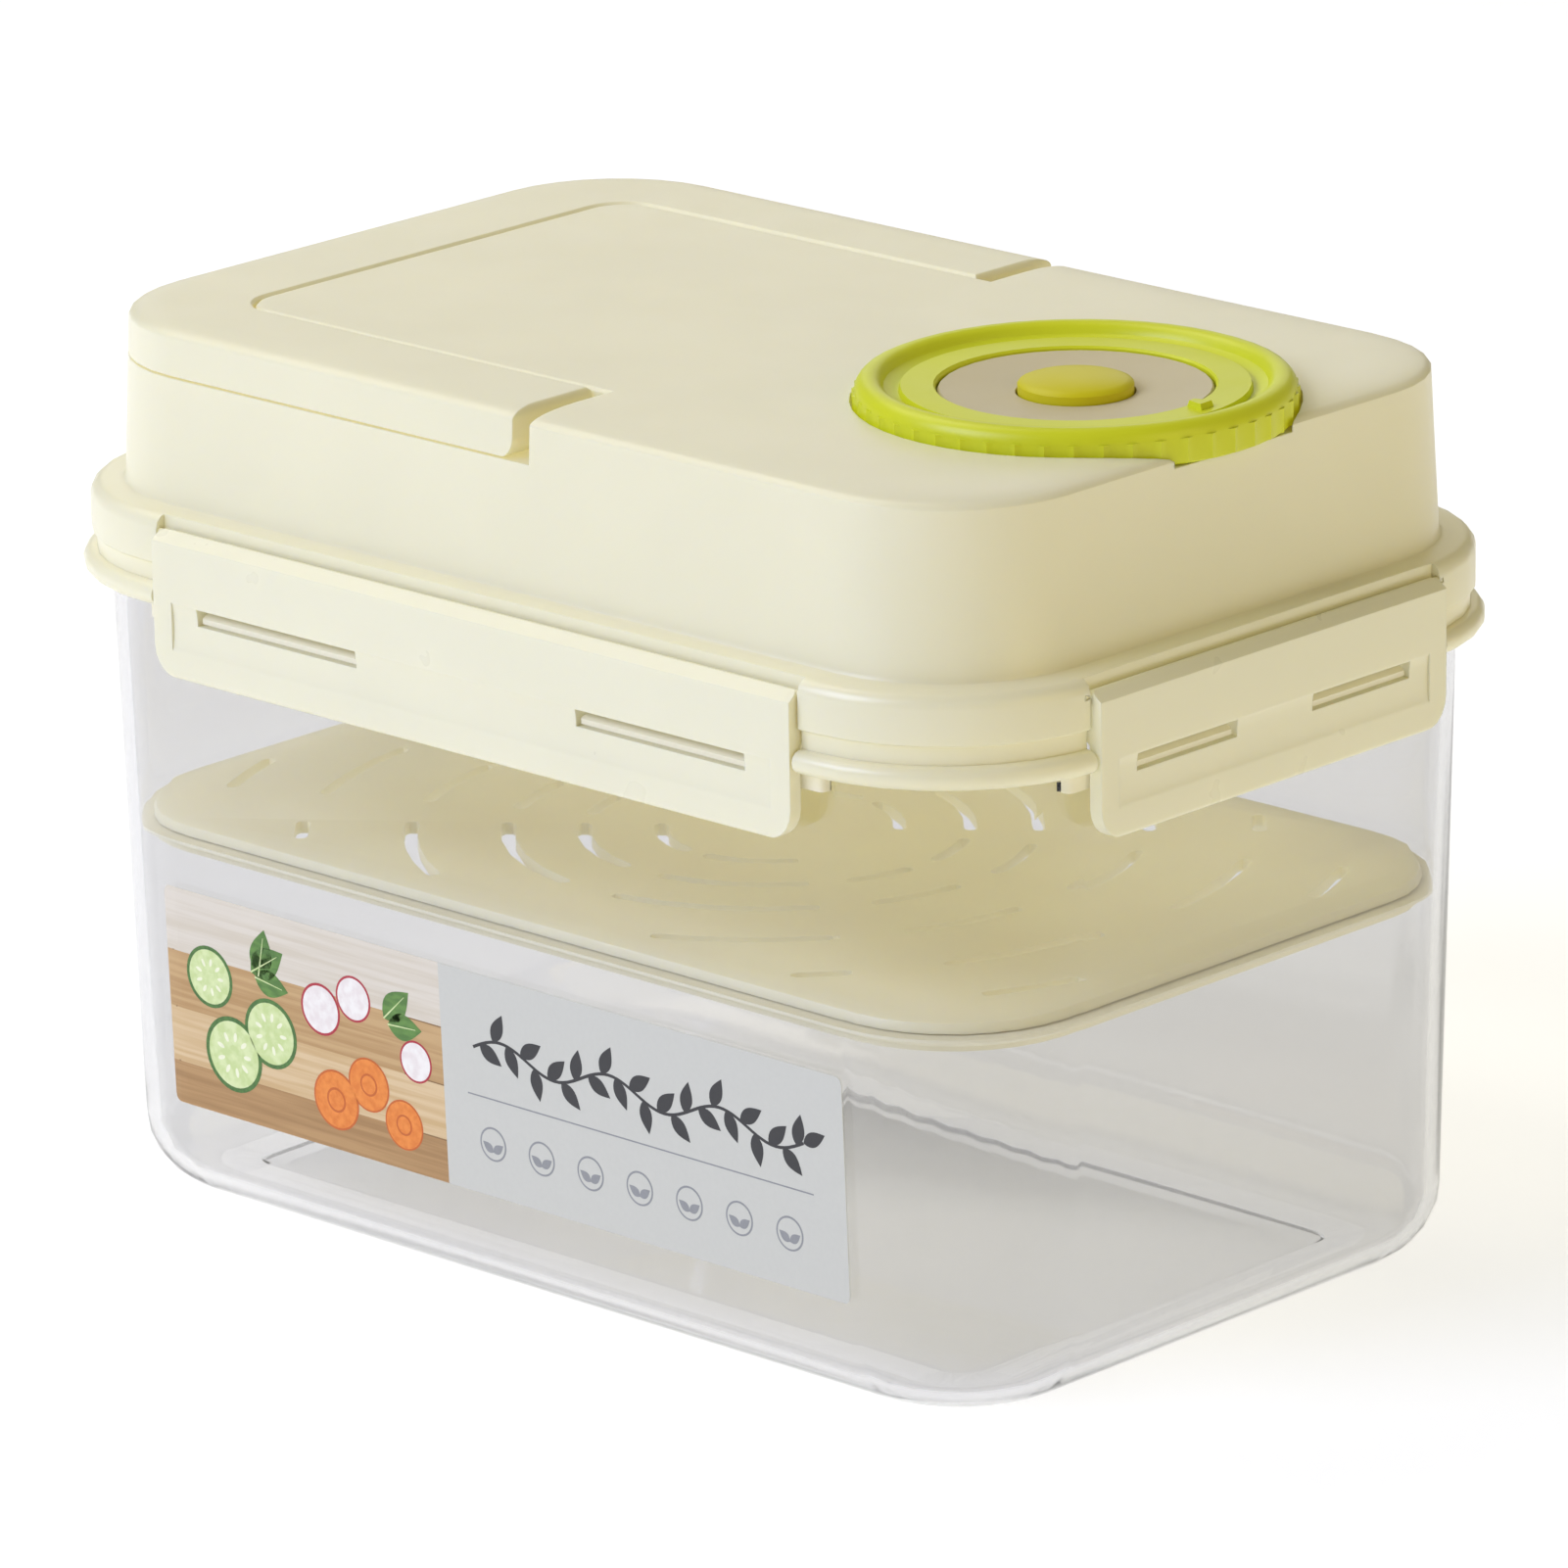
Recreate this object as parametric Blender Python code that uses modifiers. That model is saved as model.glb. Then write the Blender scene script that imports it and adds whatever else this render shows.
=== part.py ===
"""Pickle container with a clip-on dome lid, a folding carry handle, a date dial
with a vent button, and a press plate that is pushed down on the food.

Lengths are in metres and +Z is up. The long side lies along X with the dial at
the +X end, the front faces -Y, and the origin is under the middle of the tank.
Run it from the text editor or with blender --background --python part.py
"""
import math

import bmesh
import bpy
from mathutils import Matrix, Vector

# Shared by all pieces
GAP = 0.0003              # play between pieces that touch
OVERRUN = 0.006           # how far a cutter reaches past what it cuts
WELD = 0.00001            # points nearer than this are one
CORNER_STEPS = 8          # facets in a quarter turn of an outline
ARC_STEPS = 5             # facets in a rounded edge

# Tank. Heights further up are stacked on the neck, so they move with it.
TANK_WALL = 0.0024
TANK_FLOOR = 0.0026
NECK_HALF_LENGTH = 0.1186     # outside of the straight neck
NECK_HALF_WIDTH = 0.0780
NECK_CORNER = 0.0330
NECK_Z = 0.1144               # where the sloping wall turns into the neck
NECK_HEIGHT = 0.0196
DRAFT_ALONG = 0.0028          # how much smaller the base is on each side
DRAFT_ACROSS = 0.0037
DRAFT_CORNER = 0.0045
BASE_ROUNDING = 0.0144
FOOT_WIDTH = 0.0080           # flat ring that the tank stands on
FOOT_RISE = 0.0008            # hollow inside that ring
BRIM_ROUNDING = 0.0007
BASE_HALF_LENGTH = NECK_HALF_LENGTH - DRAFT_ALONG
BASE_HALF_WIDTH = NECK_HALF_WIDTH - DRAFT_ACROSS
BASE_CORNER = NECK_CORNER - DRAFT_CORNER
BRIM_Z = NECK_Z + NECK_HEIGHT

# Lid: bead, groove, rim band, ledge and dome. A reach is measured outward from
# the neck and an inset inward from it.
LID_WALL = 0.0023
LID_LIP_GAP = 0.0004          # between the neck and the lid around it
BEAD_ABOVE_NECK = 0.0086
BEAD_HEIGHT = 0.0044
BEAD_REACH = 0.0055
BEAD_ROUND = 0.0023
GROOVE_HEIGHT = 0.0039
GROOVE_REACH = 0.0028
RIM_HEIGHT = 0.0091
RIM_REACH = 0.00375
RIM_EDGE = 0.0003
RIM_ROUNDING = 0.0026
DOME_HEIGHT = 0.0338
DOME_FOOT_INSET = 0.0031
DOME_FOOT_ROUNDING = 0.0012
DOME_SHOULDER_INSET = 0.0046
TOP_ROUNDING_WIDTH = 0.0120
TOP_ROUNDING_HEIGHT = 0.0020
PLUG_DEPTH = 0.0076           # inner wall that holds the gasket in its channel
PLUG_WALL = 0.0018
BEAD_BOTTOM = NECK_Z + BEAD_ABOVE_NECK
RIM_BOTTOM = BEAD_BOTTOM + BEAD_HEIGHT + GROOVE_HEIGHT
RIM_TOP = RIM_BOTTOM + RIM_HEIGHT
LID_TOP = RIM_TOP + DOME_HEIGHT
DOME_SHOULDER_Z = LID_TOP - TOP_ROUNDING_HEIGHT

# Gasket in the channel under the ledge
GASKET_WIDTH = 0.0034
GASKET_LIP = 0.0010

# Latches
LONG_LATCH_HALF = 0.0818
SHORT_LATCH_HALF = 0.0476
LATCH_DROP = 0.0023           # below the ledge of the lid
LATCH_HEIGHT = 0.0280
LATCH_KNUCKLE_INNER = 0.0019
LATCH_INNER = 0.0027
LATCH_OUTER = 0.0055
LATCH_STEP = 0.0102           # where the latch gets thinner, below its top
LATCH_BEVEL_WIDTH = 0.0025
LATCH_BEVEL_HEIGHT = 0.0018
LATCH_EDGE = 0.0008
LATCH_LOWER_CORNER = 0.0060
LATCH_UPPER_CORNER = 0.0012
LATCH_SEAT = 0.0015           # wall of the rim band behind a latch
LATCH_END_GAP = 0.0005
LATCH_PIN_OUT = 0.0026        # pin axis, outward from the neck
LATCH_PIN_BELOW_TOP = 0.0009
LATCH_PIN_RADIUS = 0.0007
LATCH_PIN_PLAY = 0.00015
LATCH_PIN_LENGTH = 0.0015
LATCH_PIN_ROOT = 0.0030
LATCH_KNUCKLE = 0.0009
GRIP_ABOVE_EDGE = 0.0054      # dished strip for the fingers
GRIP_HEIGHT = 0.0096
GRIP_DEPTH = 0.0005
GRIP_END_MARGIN = 0.0048
SLOT_ABOVE_EDGE = 0.0113
SLOT_HEIGHT = 0.0033
LONG_SLOT_MARGIN = 0.0114
LONG_SLOT_LENGTH = 0.0421
SHORT_SLOT_MARGIN = 0.0100
SHORT_SLOT_LENGTH = 0.0272
LATCH_TOP = RIM_TOP - LATCH_DROP
LATCH_BOTTOM = LATCH_TOP - LATCH_HEIGHT
LATCH_PIN_Z = LATCH_TOP - LATCH_PIN_BELOW_TOP
SLOT_BOTTOM = LATCH_BOTTOM + SLOT_ABOVE_EDGE

# Catch ribs on the neck, and the teeth that the latches snap over
RIB_HEIGHT = 0.0029
RIB_REACH = 0.0022
RIB_PAST_LATCH = 0.0048
RIB_END_CORNER = 0.0012
RIB_ROOT = 0.0015
TOOTH_REACH = 0.0043
TOOTH_SIDE_GAP = 0.0006
TOOTH_LIP = 0.0010
RIB_TOP = BEAD_BOTTOM - GAP
RIB_BOTTOM = RIB_TOP - RIB_HEIGHT

# Carry handle, folded flush into the lid
HANDLE_RISE = 0.0002          # above the top of the lid
HANDLE_DEPTH = 0.0095         # down to the step that it folds onto
HANDLE_SEAT_GAP = 0.0004
HANDLE_ROUNDING_WIDTH = 0.0070
HANDLE_ROUNDING_HEIGHT = 0.0020
HANDLE_BAR_INSET = 0.0287     # inner edges of its bar and arms
HANDLE_ARM_INSET = 0.0256
HANDLE_INNER_CORNER = 0.0085
HANDLE_WALL = 0.0022
HANDLE_ROOF = 0.0024
HANDLE_EDGE = 0.0006
HANDLE_SIDE_GAP = 0.0005
ARM_END_X = 0.0042
ARM_TOP_CORNER = 0.0020
ARM_SOLID_LENGTH = 0.0140     # solid stretch that holds the pin
NOTCH_LENGTH = 0.0044         # room that the arm ends need to swing
HANDLE_PIN_FROM_END = 0.0038
HANDLE_PIN_ABOVE_SEAT = 0.0043
HANDLE_PIN_RADIUS = 0.0017
HANDLE_PIN_PLAY = 0.0001
HANDLE_PIN_IN_ARM = 0.0090
HANDLE_PIN_IN_LID = 0.0012    # how far it stands out inside the dome
HANDLE_TOP = LID_TOP + HANDLE_RISE
HANDLE_SEAT_Z = HANDLE_TOP - HANDLE_DEPTH
HANDLE_INNER_HALF_LENGTH = NECK_HALF_LENGTH - HANDLE_BAR_INSET
HANDLE_INNER_HALF_WIDTH = NECK_HALF_WIDTH - HANDLE_ARM_INSET
HANDLE_PIN_X = ARM_END_X - HANDLE_PIN_FROM_END
HANDLE_PIN_Z = HANDLE_SEAT_Z + HANDLE_PIN_ABOVE_SEAT
NOTCH_END_X = ARM_END_X + NOTCH_LENGTH

# Date dial, with its floor sunk into the top of the lid
DIAL_FROM_END = 0.0426
DIAL_RADIUS = 0.0404
DIAL_POCKET_GAP = 0.0009
DIAL_POCKET_DEPTH = 0.0033
DIAL_HEIGHT = 0.0076
DIAL_LIP_WIDTH = 0.0054
DIAL_LIP_HEIGHT = 0.0027
DIAL_KNURLS = 48
DIAL_KNURL_DEPTH = 0.00045
DIAL_EDGE = 0.0004
DIAL_VALLEY_INSET = 0.0072
DIAL_VALLEY_DROP = 0.0030
DIAL_VALLEY_WIDTH = 0.0008
DIAL_FLAT_DROP = 0.0019
DIAL_FLAT_WIDTH = 0.0068
DIAL_FOOT_WIDTH = 0.0011      # inner foot that turns on the collar
DIAL_FOOT_HEIGHT = 0.0020
DIAL_WALL = 0.0017
DIAL_ROOF = 0.0017
POINTER_LENGTH = 0.0042
POINTER_WIDTH = 0.0040
POINTER_HEIGHT = 0.0011
POINTER_ANGLE = 4.0
COLLAR_WALL = 0.0021
DIAL_X = NECK_HALF_LENGTH - DIAL_FROM_END
DIAL_FLOOR_Z = LID_TOP - DIAL_POCKET_DEPTH
DIAL_CREST_Z = DIAL_FLOOR_Z + GAP + DIAL_HEIGHT
DIAL_VALLEY_Z = DIAL_CREST_Z - DIAL_VALLEY_DROP
DIAL_FLAT_Z = DIAL_CREST_Z - DIAL_FLAT_DROP
DIAL_VALLEY_RADIUS = DIAL_RADIUS - DIAL_VALLEY_INSET
DIAL_FLAT_RADIUS = DIAL_VALLEY_RADIUS - DIAL_VALLEY_WIDTH
DIAL_BORE_RADIUS = DIAL_FLAT_RADIUS - DIAL_FLAT_WIDTH
DIAL_FOOT_RADIUS = DIAL_BORE_RADIUS - DIAL_FOOT_WIDTH
COLLAR_RADIUS = DIAL_FOOT_RADIUS - GAP
COLLAR_TOP = DIAL_FLOOR_Z + GAP + DIAL_FOOT_HEIGHT

# Centre disc of the dial, pressed into the collar
DISC_EDGE_DROP = 0.0006
DISC_DISH = 0.0009
DISC_THICKNESS = 0.0016
DISC_SKIRT = 0.0020
DISC_FLANGE_GAP = 0.0004

# Vent button, its stem, spring and seal
BUTTON_RADIUS = 0.0107
BUTTON_PLAY = 0.0004
BUTTON_DOME = 0.0017
BUTTON_WALL = 0.0015
BUTTON_SKIRT = 0.0030
BUTTON_SOCKET_RADIUS = 0.0036
BUTTON_SOCKET_DEPTH = 0.0014
BOSS_RADIUS = 0.0044
BOSS_ABOVE = 0.0015
BOSS_BELOW = 0.0024
STEM_RADIUS = 0.0023
STEM_PLAY = 0.0003
STEM_NECK_RADIUS = 0.0016
STEM_HEAD_RADIUS = 0.0029
STEM_HEAD_HEIGHT = 0.0008
SEAL_RADIUS = 0.0062
SEAL_THICKNESS = 0.0016
SEAL_LIP = 0.0005
SPRING_INSET = 0.0041         # inside the button
SPRING_WIRE = 0.00035
SPRING_TURNS = 4
SPRING_STEPS = 14
BUTTON_SIDE_Z = DIAL_FLAT_Z
BUTTON_TOP_Z = BUTTON_SIDE_Z + BUTTON_DOME
BUTTON_SKIRT_Z = BUTTON_SIDE_Z - BUTTON_SKIRT

# Press plate and the soft ring around its foot
PLATE_BOTTOM = 0.0714
PLATE_HEIGHT = 0.0055
PLATE_CLEARANCE = 0.0029      # between the plate and the tank's inside
PLATE_THICKNESS = 0.0024
PLATE_ROUNDING = 0.0016
PLATE_SKIRT = 0.0020
RING_HEIGHT = 0.0032
RING_SEAT = 0.0009            # depth of the groove that holds the ring
RING_WALL_GAP = 0.0003        # between the ring's lip and the tank
RING_LIP = 0.0009
SLOT_RING_RADII = (0.0218, 0.0364, 0.0508, 0.0691, 0.0898, 0.1087)
SLOT_SECTORS = ((7.0, 26.5), (39.0, 82.0))   # degrees from the long axis
SLOT_WIDTH = 0.0027
SLOT_EDGE_MARGIN = 0.0085     # plate left whole along its edge
SLOT_SHORTEST = 0.0060
PLATE_TOP = PLATE_BOTTOM + PLATE_HEIGHT
RING_TOP = PLATE_BOTTOM + RING_HEIGHT

SIDES = ('front', 'back', 'left', 'right')


def clear_scene():
    for obj in list(bpy.data.objects):
        bpy.data.objects.remove(obj, do_unlink=True)
    for block in list(bpy.data.meshes):
        bpy.data.meshes.remove(block)


def new_collection(name):
    group = bpy.data.collections.new(name)
    bpy.context.scene.collection.children.link(group)
    return group


def material(name, colour, roughness, metallic=0.0, clear=0.0):
    mat = bpy.data.materials.new(name)
    mat.use_nodes = True
    shader = mat.node_tree.nodes["Principled BSDF"]
    shader.inputs["Base Color"].default_value = (*colour, 1.0)
    shader.inputs["Roughness"].default_value = roughness
    shader.inputs["Metallic"].default_value = metallic
    shader.inputs["Transmission Weight"].default_value = clear
    mat.diffuse_color = (*colour, 1.0 - 0.7 * clear)
    return mat


def put(name, mesh, group, mat=None):
    """Make an object of a mesh, in the parts or as a cutter that doesn't show."""
    obj = bpy.data.objects.new(name, mesh)
    group.objects.link(obj)
    if mat:
        mesh.materials.append(mat)
    if group is CUTTERS:
        obj.hide_render = True
        obj.display_type = 'WIRE'
    return obj


def place(name, verts, faces, group, mat=None):
    """Make an object from points and faces, with every face turned outward."""
    mesh = bpy.data.meshes.new(name)
    mesh.from_pydata([tuple(v) for v in verts], [], faces)
    bm = bmesh.new()
    bm.from_mesh(mesh)
    bmesh.ops.recalc_face_normals(bm, faces=bm.faces)
    bm.to_mesh(mesh)
    bm.free()
    return put(name, mesh, group, mat)


def set_origin(obj, point):
    """Move the origin to a joint axis and leave the shape where it is."""
    obj.data.transform(Matrix.Translation(-Vector(point)))
    obj.location = point


def boolean(obj, tool, operation='DIFFERENCE'):
    mod = obj.modifiers.new(operation.title() + " " + tool.name, 'BOOLEAN')
    mod.operation = operation
    mod.object = tool
    mod.solver = 'EXACT'


def joined(name, pieces):
    """Gather cutters that don't touch one another into one."""
    bm = bmesh.new()
    for piece in pieces:
        bm.from_mesh(piece.data)
        bpy.data.objects.remove(piece, do_unlink=True)
    mesh = bpy.data.meshes.new(name)
    bm.to_mesh(mesh)
    bm.free()
    return put(name, mesh, CUTTERS)


def arc(centre, size, start, end, steps=ARC_STEPS):
    """Points on an ellipse in a section; centre and size are (out, up) pairs."""
    points = []
    for i in range(steps + 1):
        angle = math.radians(start + (end - start) * i / steps)
        points.append((centre[0] + size[0] * math.cos(angle),
                       centre[1] + size[1] * math.sin(angle)))
    return points


def rounded_outline(half_x, half_y, radius, steps=CORNER_STEPS):
    points = []
    for quarter, (sx, sy) in enumerate(((1, 1), (-1, 1), (-1, -1), (1, -1))):
        centre = (sx * (half_x - radius), sy * (half_y - radius))
        start = 90 * quarter
        points += arc(centre, (radius, radius), start, start + 90, steps)
    return points


def level(outline, z):
    return [Vector((x, y, z)) for x, y in outline]


def neck_ring(offset, z):
    """Outline parallel to the tank's neck, offset outward, at height z."""
    return level(rounded_outline(NECK_HALF_LENGTH + offset, NECK_HALF_WIDTH + offset,
                                 NECK_CORNER + offset), z)


def tank_ring(z, inset):
    """Outline parallel to the sloping wall at height z, inset from its outside."""
    share = (z - BASE_ROUNDING) / (NECK_Z - BASE_ROUNDING)
    share = min(max(share, 0.0), 1.0)
    sizes = [low + (high - low) * share - inset for low, high in
             ((BASE_HALF_LENGTH, NECK_HALF_LENGTH), (BASE_HALF_WIDTH, NECK_HALF_WIDTH),
              (BASE_CORNER, NECK_CORNER))]
    return level(rounded_outline(*sizes), z)


def loft(name, rings, group, mat=None):
    """Skin a row of outlines with equal counts and cap its two ends."""
    count = len(rings[0])
    verts = [v for ring in rings for v in ring]
    faces = [tuple(range(count)), tuple(range(len(verts) - count, len(verts)))]
    for row in range(len(rings) - 1):
        for i in range(count):
            a, b = row * count + i, row * count + (i + 1) % count
            faces.append((a, b, b + count, a + count))
    return place(name, verts, faces, group, mat)


def loop_loft(name, rings, group, mat=None):
    """Skin a row of outlines that closes on itself, like a seal."""
    count = len(rings[0])
    verts = [v for ring in rings for v in ring]
    faces = []
    for row in range(len(rings)):
        below = (row + 1) % len(rings)
        for i in range(count):
            j = (i + 1) % count
            faces.append((row * count + i, row * count + j,
                          below * count + j, below * count + i))
    return place(name, verts, faces, group, mat)


def turned(name, profile, steps, group, mat=None, origin_z=0):
    """Turn a (radius, z) section about the dial's axis with a Screw modifier. A
    section that starts and ends on the axis gives a plug, any other a ring."""
    closed = profile[0][0] > 0
    area = sum(a[0] * b[1] - b[0] * a[1] for a, b in zip(profile, profile[1:] + profile[:1]))
    if area > 0:
        profile = profile[::-1]
    edges = [(i, i + 1) for i in range(len(profile) - 1)]
    if closed:
        edges.append((len(profile) - 1, 0))
    mesh = bpy.data.meshes.new(name)
    mesh.from_pydata([(r, 0, z - origin_z) for r, z in profile], edges, [])
    obj = put(name, mesh, group, mat)
    obj.location = (DIAL_X, 0, origin_z)
    screw = obj.modifiers.new("Turn", 'SCREW')
    screw.steps = screw.render_steps = steps
    screw.use_merge_vertices = True
    screw.merge_threshold = WELD
    screw.use_smooth_shade = False
    return obj


def curve_mesh(obj):
    """The mesh of a curve object, with its caps welded on. The curve is removed."""
    CUTTERS.objects.link(obj)
    bpy.context.view_layer.update()
    mesh = bpy.data.meshes.new_from_object(
        obj.evaluated_get(bpy.context.evaluated_depsgraph_get()))
    bm = bmesh.new()
    bm.from_mesh(mesh)
    bmesh.ops.remove_doubles(bm, verts=bm.verts, dist=WELD)
    bmesh.ops.recalc_face_normals(bm, faces=bm.faces)
    bm.to_mesh(mesh)
    bm.free()
    mesh.materials.clear()
    bpy.data.objects.remove(obj, do_unlink=True)
    return mesh


def standing(axis, low, high):
    """Turn what was made along Z to run from low to high along an axis."""
    rows = {'X': ((0, 0, 1), (1, 0, 0), (0, 1, 0)),
            'Y': ((1, 0, 0), (0, 0, 1), (0, 1, 0)),
            'Z': ((1, 0, 0), (0, 1, 0), (0, 0, 1))}[axis]
    return Matrix(rows).to_4x4() @ Matrix.Translation((0, 0, (low + high) / 2))


def turn_mesh(mesh, matrix):
    """Move a mesh's points and keep its faces pointing out, also when mirrored."""
    mesh.transform(matrix)
    if matrix.determinant() < 0:
        mesh.flip_normals()
    return mesh


def prisms(name, outlines, axis, low, high, group, mat=None):
    """Push flat outlines along one axis; their points fill the other two in order."""
    curve = bpy.data.curves.new(name, 'CURVE')
    curve.dimensions = '2D'
    curve.fill_mode = 'BOTH'
    curve.extrude = (high - low) / 2
    for outline in outlines:
        line = curve.splines.new('POLY')
        line.points.add(len(outline) - 1)
        for point, (u, v) in zip(line.points, outline):
            point.co = (u, v, 0, 1)
        line.use_cyclic_u = True
    mesh = curve_mesh(bpy.data.objects.new(name, curve))
    return put(name, turn_mesh(mesh, standing(axis, low, high)), group, mat)


def prism(name, outline, axis, low, high, group, mat=None):
    return prisms(name, [outline], axis, low, high, group, mat)


def box(name, low, high, group, mat=None):
    bm = bmesh.new()
    bmesh.ops.create_cube(bm, size=1)
    size, middle = Vector(high) - Vector(low), (Vector(low) + Vector(high)) / 2
    bm.transform(Matrix.Translation(middle) @ Matrix.Diagonal((*size, 1)))
    mesh = bpy.data.meshes.new(name)
    bm.to_mesh(mesh)
    bm.free()
    return put(name, mesh, group, mat)


def rod(name, centre, radius, steps, axis, low, high, group, mat=None):
    """A cylinder along one axis; its centre fills the other two in order."""
    bm = bmesh.new()
    bmesh.ops.create_cone(bm, cap_ends=True, segments=steps, radius1=radius, radius2=radius,
                          depth=high - low)
    bm.transform(Matrix.Translation((*centre, 0)))
    mesh = bpy.data.meshes.new(name)
    bm.to_mesh(mesh)
    bm.free()
    return put(name, turn_mesh(mesh, standing(axis, low, high)), group, mat)


def on_side(obj, side):
    """Turn a piece made for the front to one of the four sides."""
    turn = {'front': 0, 'right': 90, 'back': 180, 'left': 270}[side]
    obj.data.transform(Matrix.Rotation(math.radians(turn), 4, 'Z'))
    return obj


def side_sizes(side):
    """Half length of the latch, its slots, and the neck's distance on a side."""
    if side in ('front', 'back'):
        half, margin, length = LONG_LATCH_HALF, LONG_SLOT_MARGIN, LONG_SLOT_LENGTH
        face = NECK_HALF_WIDTH
    else:
        half, margin, length = SHORT_LATCH_HALF, SHORT_SLOT_MARGIN, SHORT_SLOT_LENGTH
        face = NECK_HALF_LENGTH
    return half, half - margin - length, half - margin, face


def across(points, face):
    """Turn (out, up) section points into (y, z) points on the front side."""
    return [(-(face + out), z) for out, z in points]


def make_tank(mat):
    inner_round = BASE_ROUNDING - TANK_FLOOR
    rings = [tank_ring(BASE_ROUNDING, BASE_ROUNDING + FOOT_WIDTH + FOOT_RISE),
             tank_ring(BASE_ROUNDING, BASE_ROUNDING + FOOT_WIDTH)]
    for ring, z in zip(rings, (FOOT_RISE, 0)):
        for v in ring:
            v.z = z
    for out, z in arc((0, BASE_ROUNDING), (BASE_ROUNDING, BASE_ROUNDING), -90, 0, 6):
        ring = tank_ring(BASE_ROUNDING, BASE_ROUNDING - out)
        for v in ring:
            v.z = z
        rings.append(ring)
    rings += [tank_ring(NECK_Z, 0), neck_ring(0, BRIM_Z - BRIM_ROUNDING),
              neck_ring(-BRIM_ROUNDING, BRIM_Z), neck_ring(BRIM_ROUNDING - TANK_WALL, BRIM_Z),
              neck_ring(-TANK_WALL, BRIM_Z - BRIM_ROUNDING), tank_ring(NECK_Z, TANK_WALL)]
    for out, z in arc((0, BASE_ROUNDING), (inner_round, inner_round), 0, -90, 5):
        ring = tank_ring(BASE_ROUNDING, TANK_WALL + inner_round - out)
        for v in ring:
            v.z = z
        rings.append(ring)
    tank = loft("tank", rings, PARTS, mat)

    tooth_bottom = SLOT_BOTTOM + GAP + GAP / 2
    tooth_top = SLOT_BOTTOM + SLOT_HEIGHT - GAP
    for side in SIDES:
        half, start, end, face = side_sizes(side)
        rib_end = half + RIB_PAST_LATCH
        outline = []
        for sx, sy in ((1, 1), (-1, 1)):
            centre = (sx * (rib_end - RIB_END_CORNER), face + RIB_REACH - RIB_END_CORNER)
            start_angle = 0 if sx > 0 else 90
            outline += arc(centre, (RIB_END_CORNER, RIB_END_CORNER),
                           start_angle, start_angle + 90, 3)
        outline += [(-rib_end, face - RIB_ROOT), (rib_end, face - RIB_ROOT)]
        rib = prism("rib_" + side, [(x, -y) for x, y in outline], 'Z',
                    RIB_BOTTOM, RIB_TOP, CUTTERS)
        boolean(tank, on_side(rib, side), 'UNION')
        section = across(((-RIB_ROOT, tooth_bottom), (TOOTH_REACH, tooth_bottom),
                          (TOOTH_REACH, tooth_bottom + TOOTH_LIP),
                          (RIB_REACH - GAP, tooth_top),
                          (-RIB_ROOT, tooth_top)), face)
        for mark, ends in (("a", (-end, -start)), ("b", (start, end))):
            low, high = ends[0] + TOOTH_SIDE_GAP, ends[1] - TOOTH_SIDE_GAP
            tooth = prism("tooth_" + side + "_" + mark, section, 'X', low, high, CUTTERS)
            boolean(tank, on_side(tooth, side), 'UNION')
    return tank


def dome_inset(z):
    """How far the dome's sloping wall stands inside the neck's outline."""
    foot = RIM_TOP + DOME_FOOT_ROUNDING
    share = (z - foot) / (DOME_SHOULDER_Z - foot)
    return DOME_FOOT_INSET + (DOME_SHOULDER_INSET - DOME_FOOT_INSET) * share


def handle_space(name, grow, seat_z):
    """U-shaped space that the handle folds into, for the lid's outside or inside."""
    outer = box(name, (-NECK_HALF_LENGTH - OVERRUN, -NECK_HALF_WIDTH - OVERRUN, seat_z),
                (NOTCH_END_X + grow, NECK_HALF_WIDTH + OVERRUN, HANDLE_TOP + OVERRUN), CUTTERS)
    half_x = HANDLE_INNER_HALF_LENGTH - HANDLE_SIDE_GAP - grow
    half_y = HANDLE_INNER_HALF_WIDTH - HANDLE_SIDE_GAP - grow
    corner = HANDLE_INNER_CORNER - HANDLE_SIDE_GAP
    rings = []
    for inset, z in ((0, seat_z - OVERRUN), (0, LID_TOP - HANDLE_EDGE),
                     (HANDLE_EDGE, LID_TOP), (HANDLE_EDGE, HANDLE_TOP + 2 * OVERRUN)):
        rings.append(level(rounded_outline(half_x - inset, half_y - inset, corner - inset), z))
    block = loft(name + "_block", rings, CUTTERS)
    boolean(outer, block)
    return outer


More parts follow.
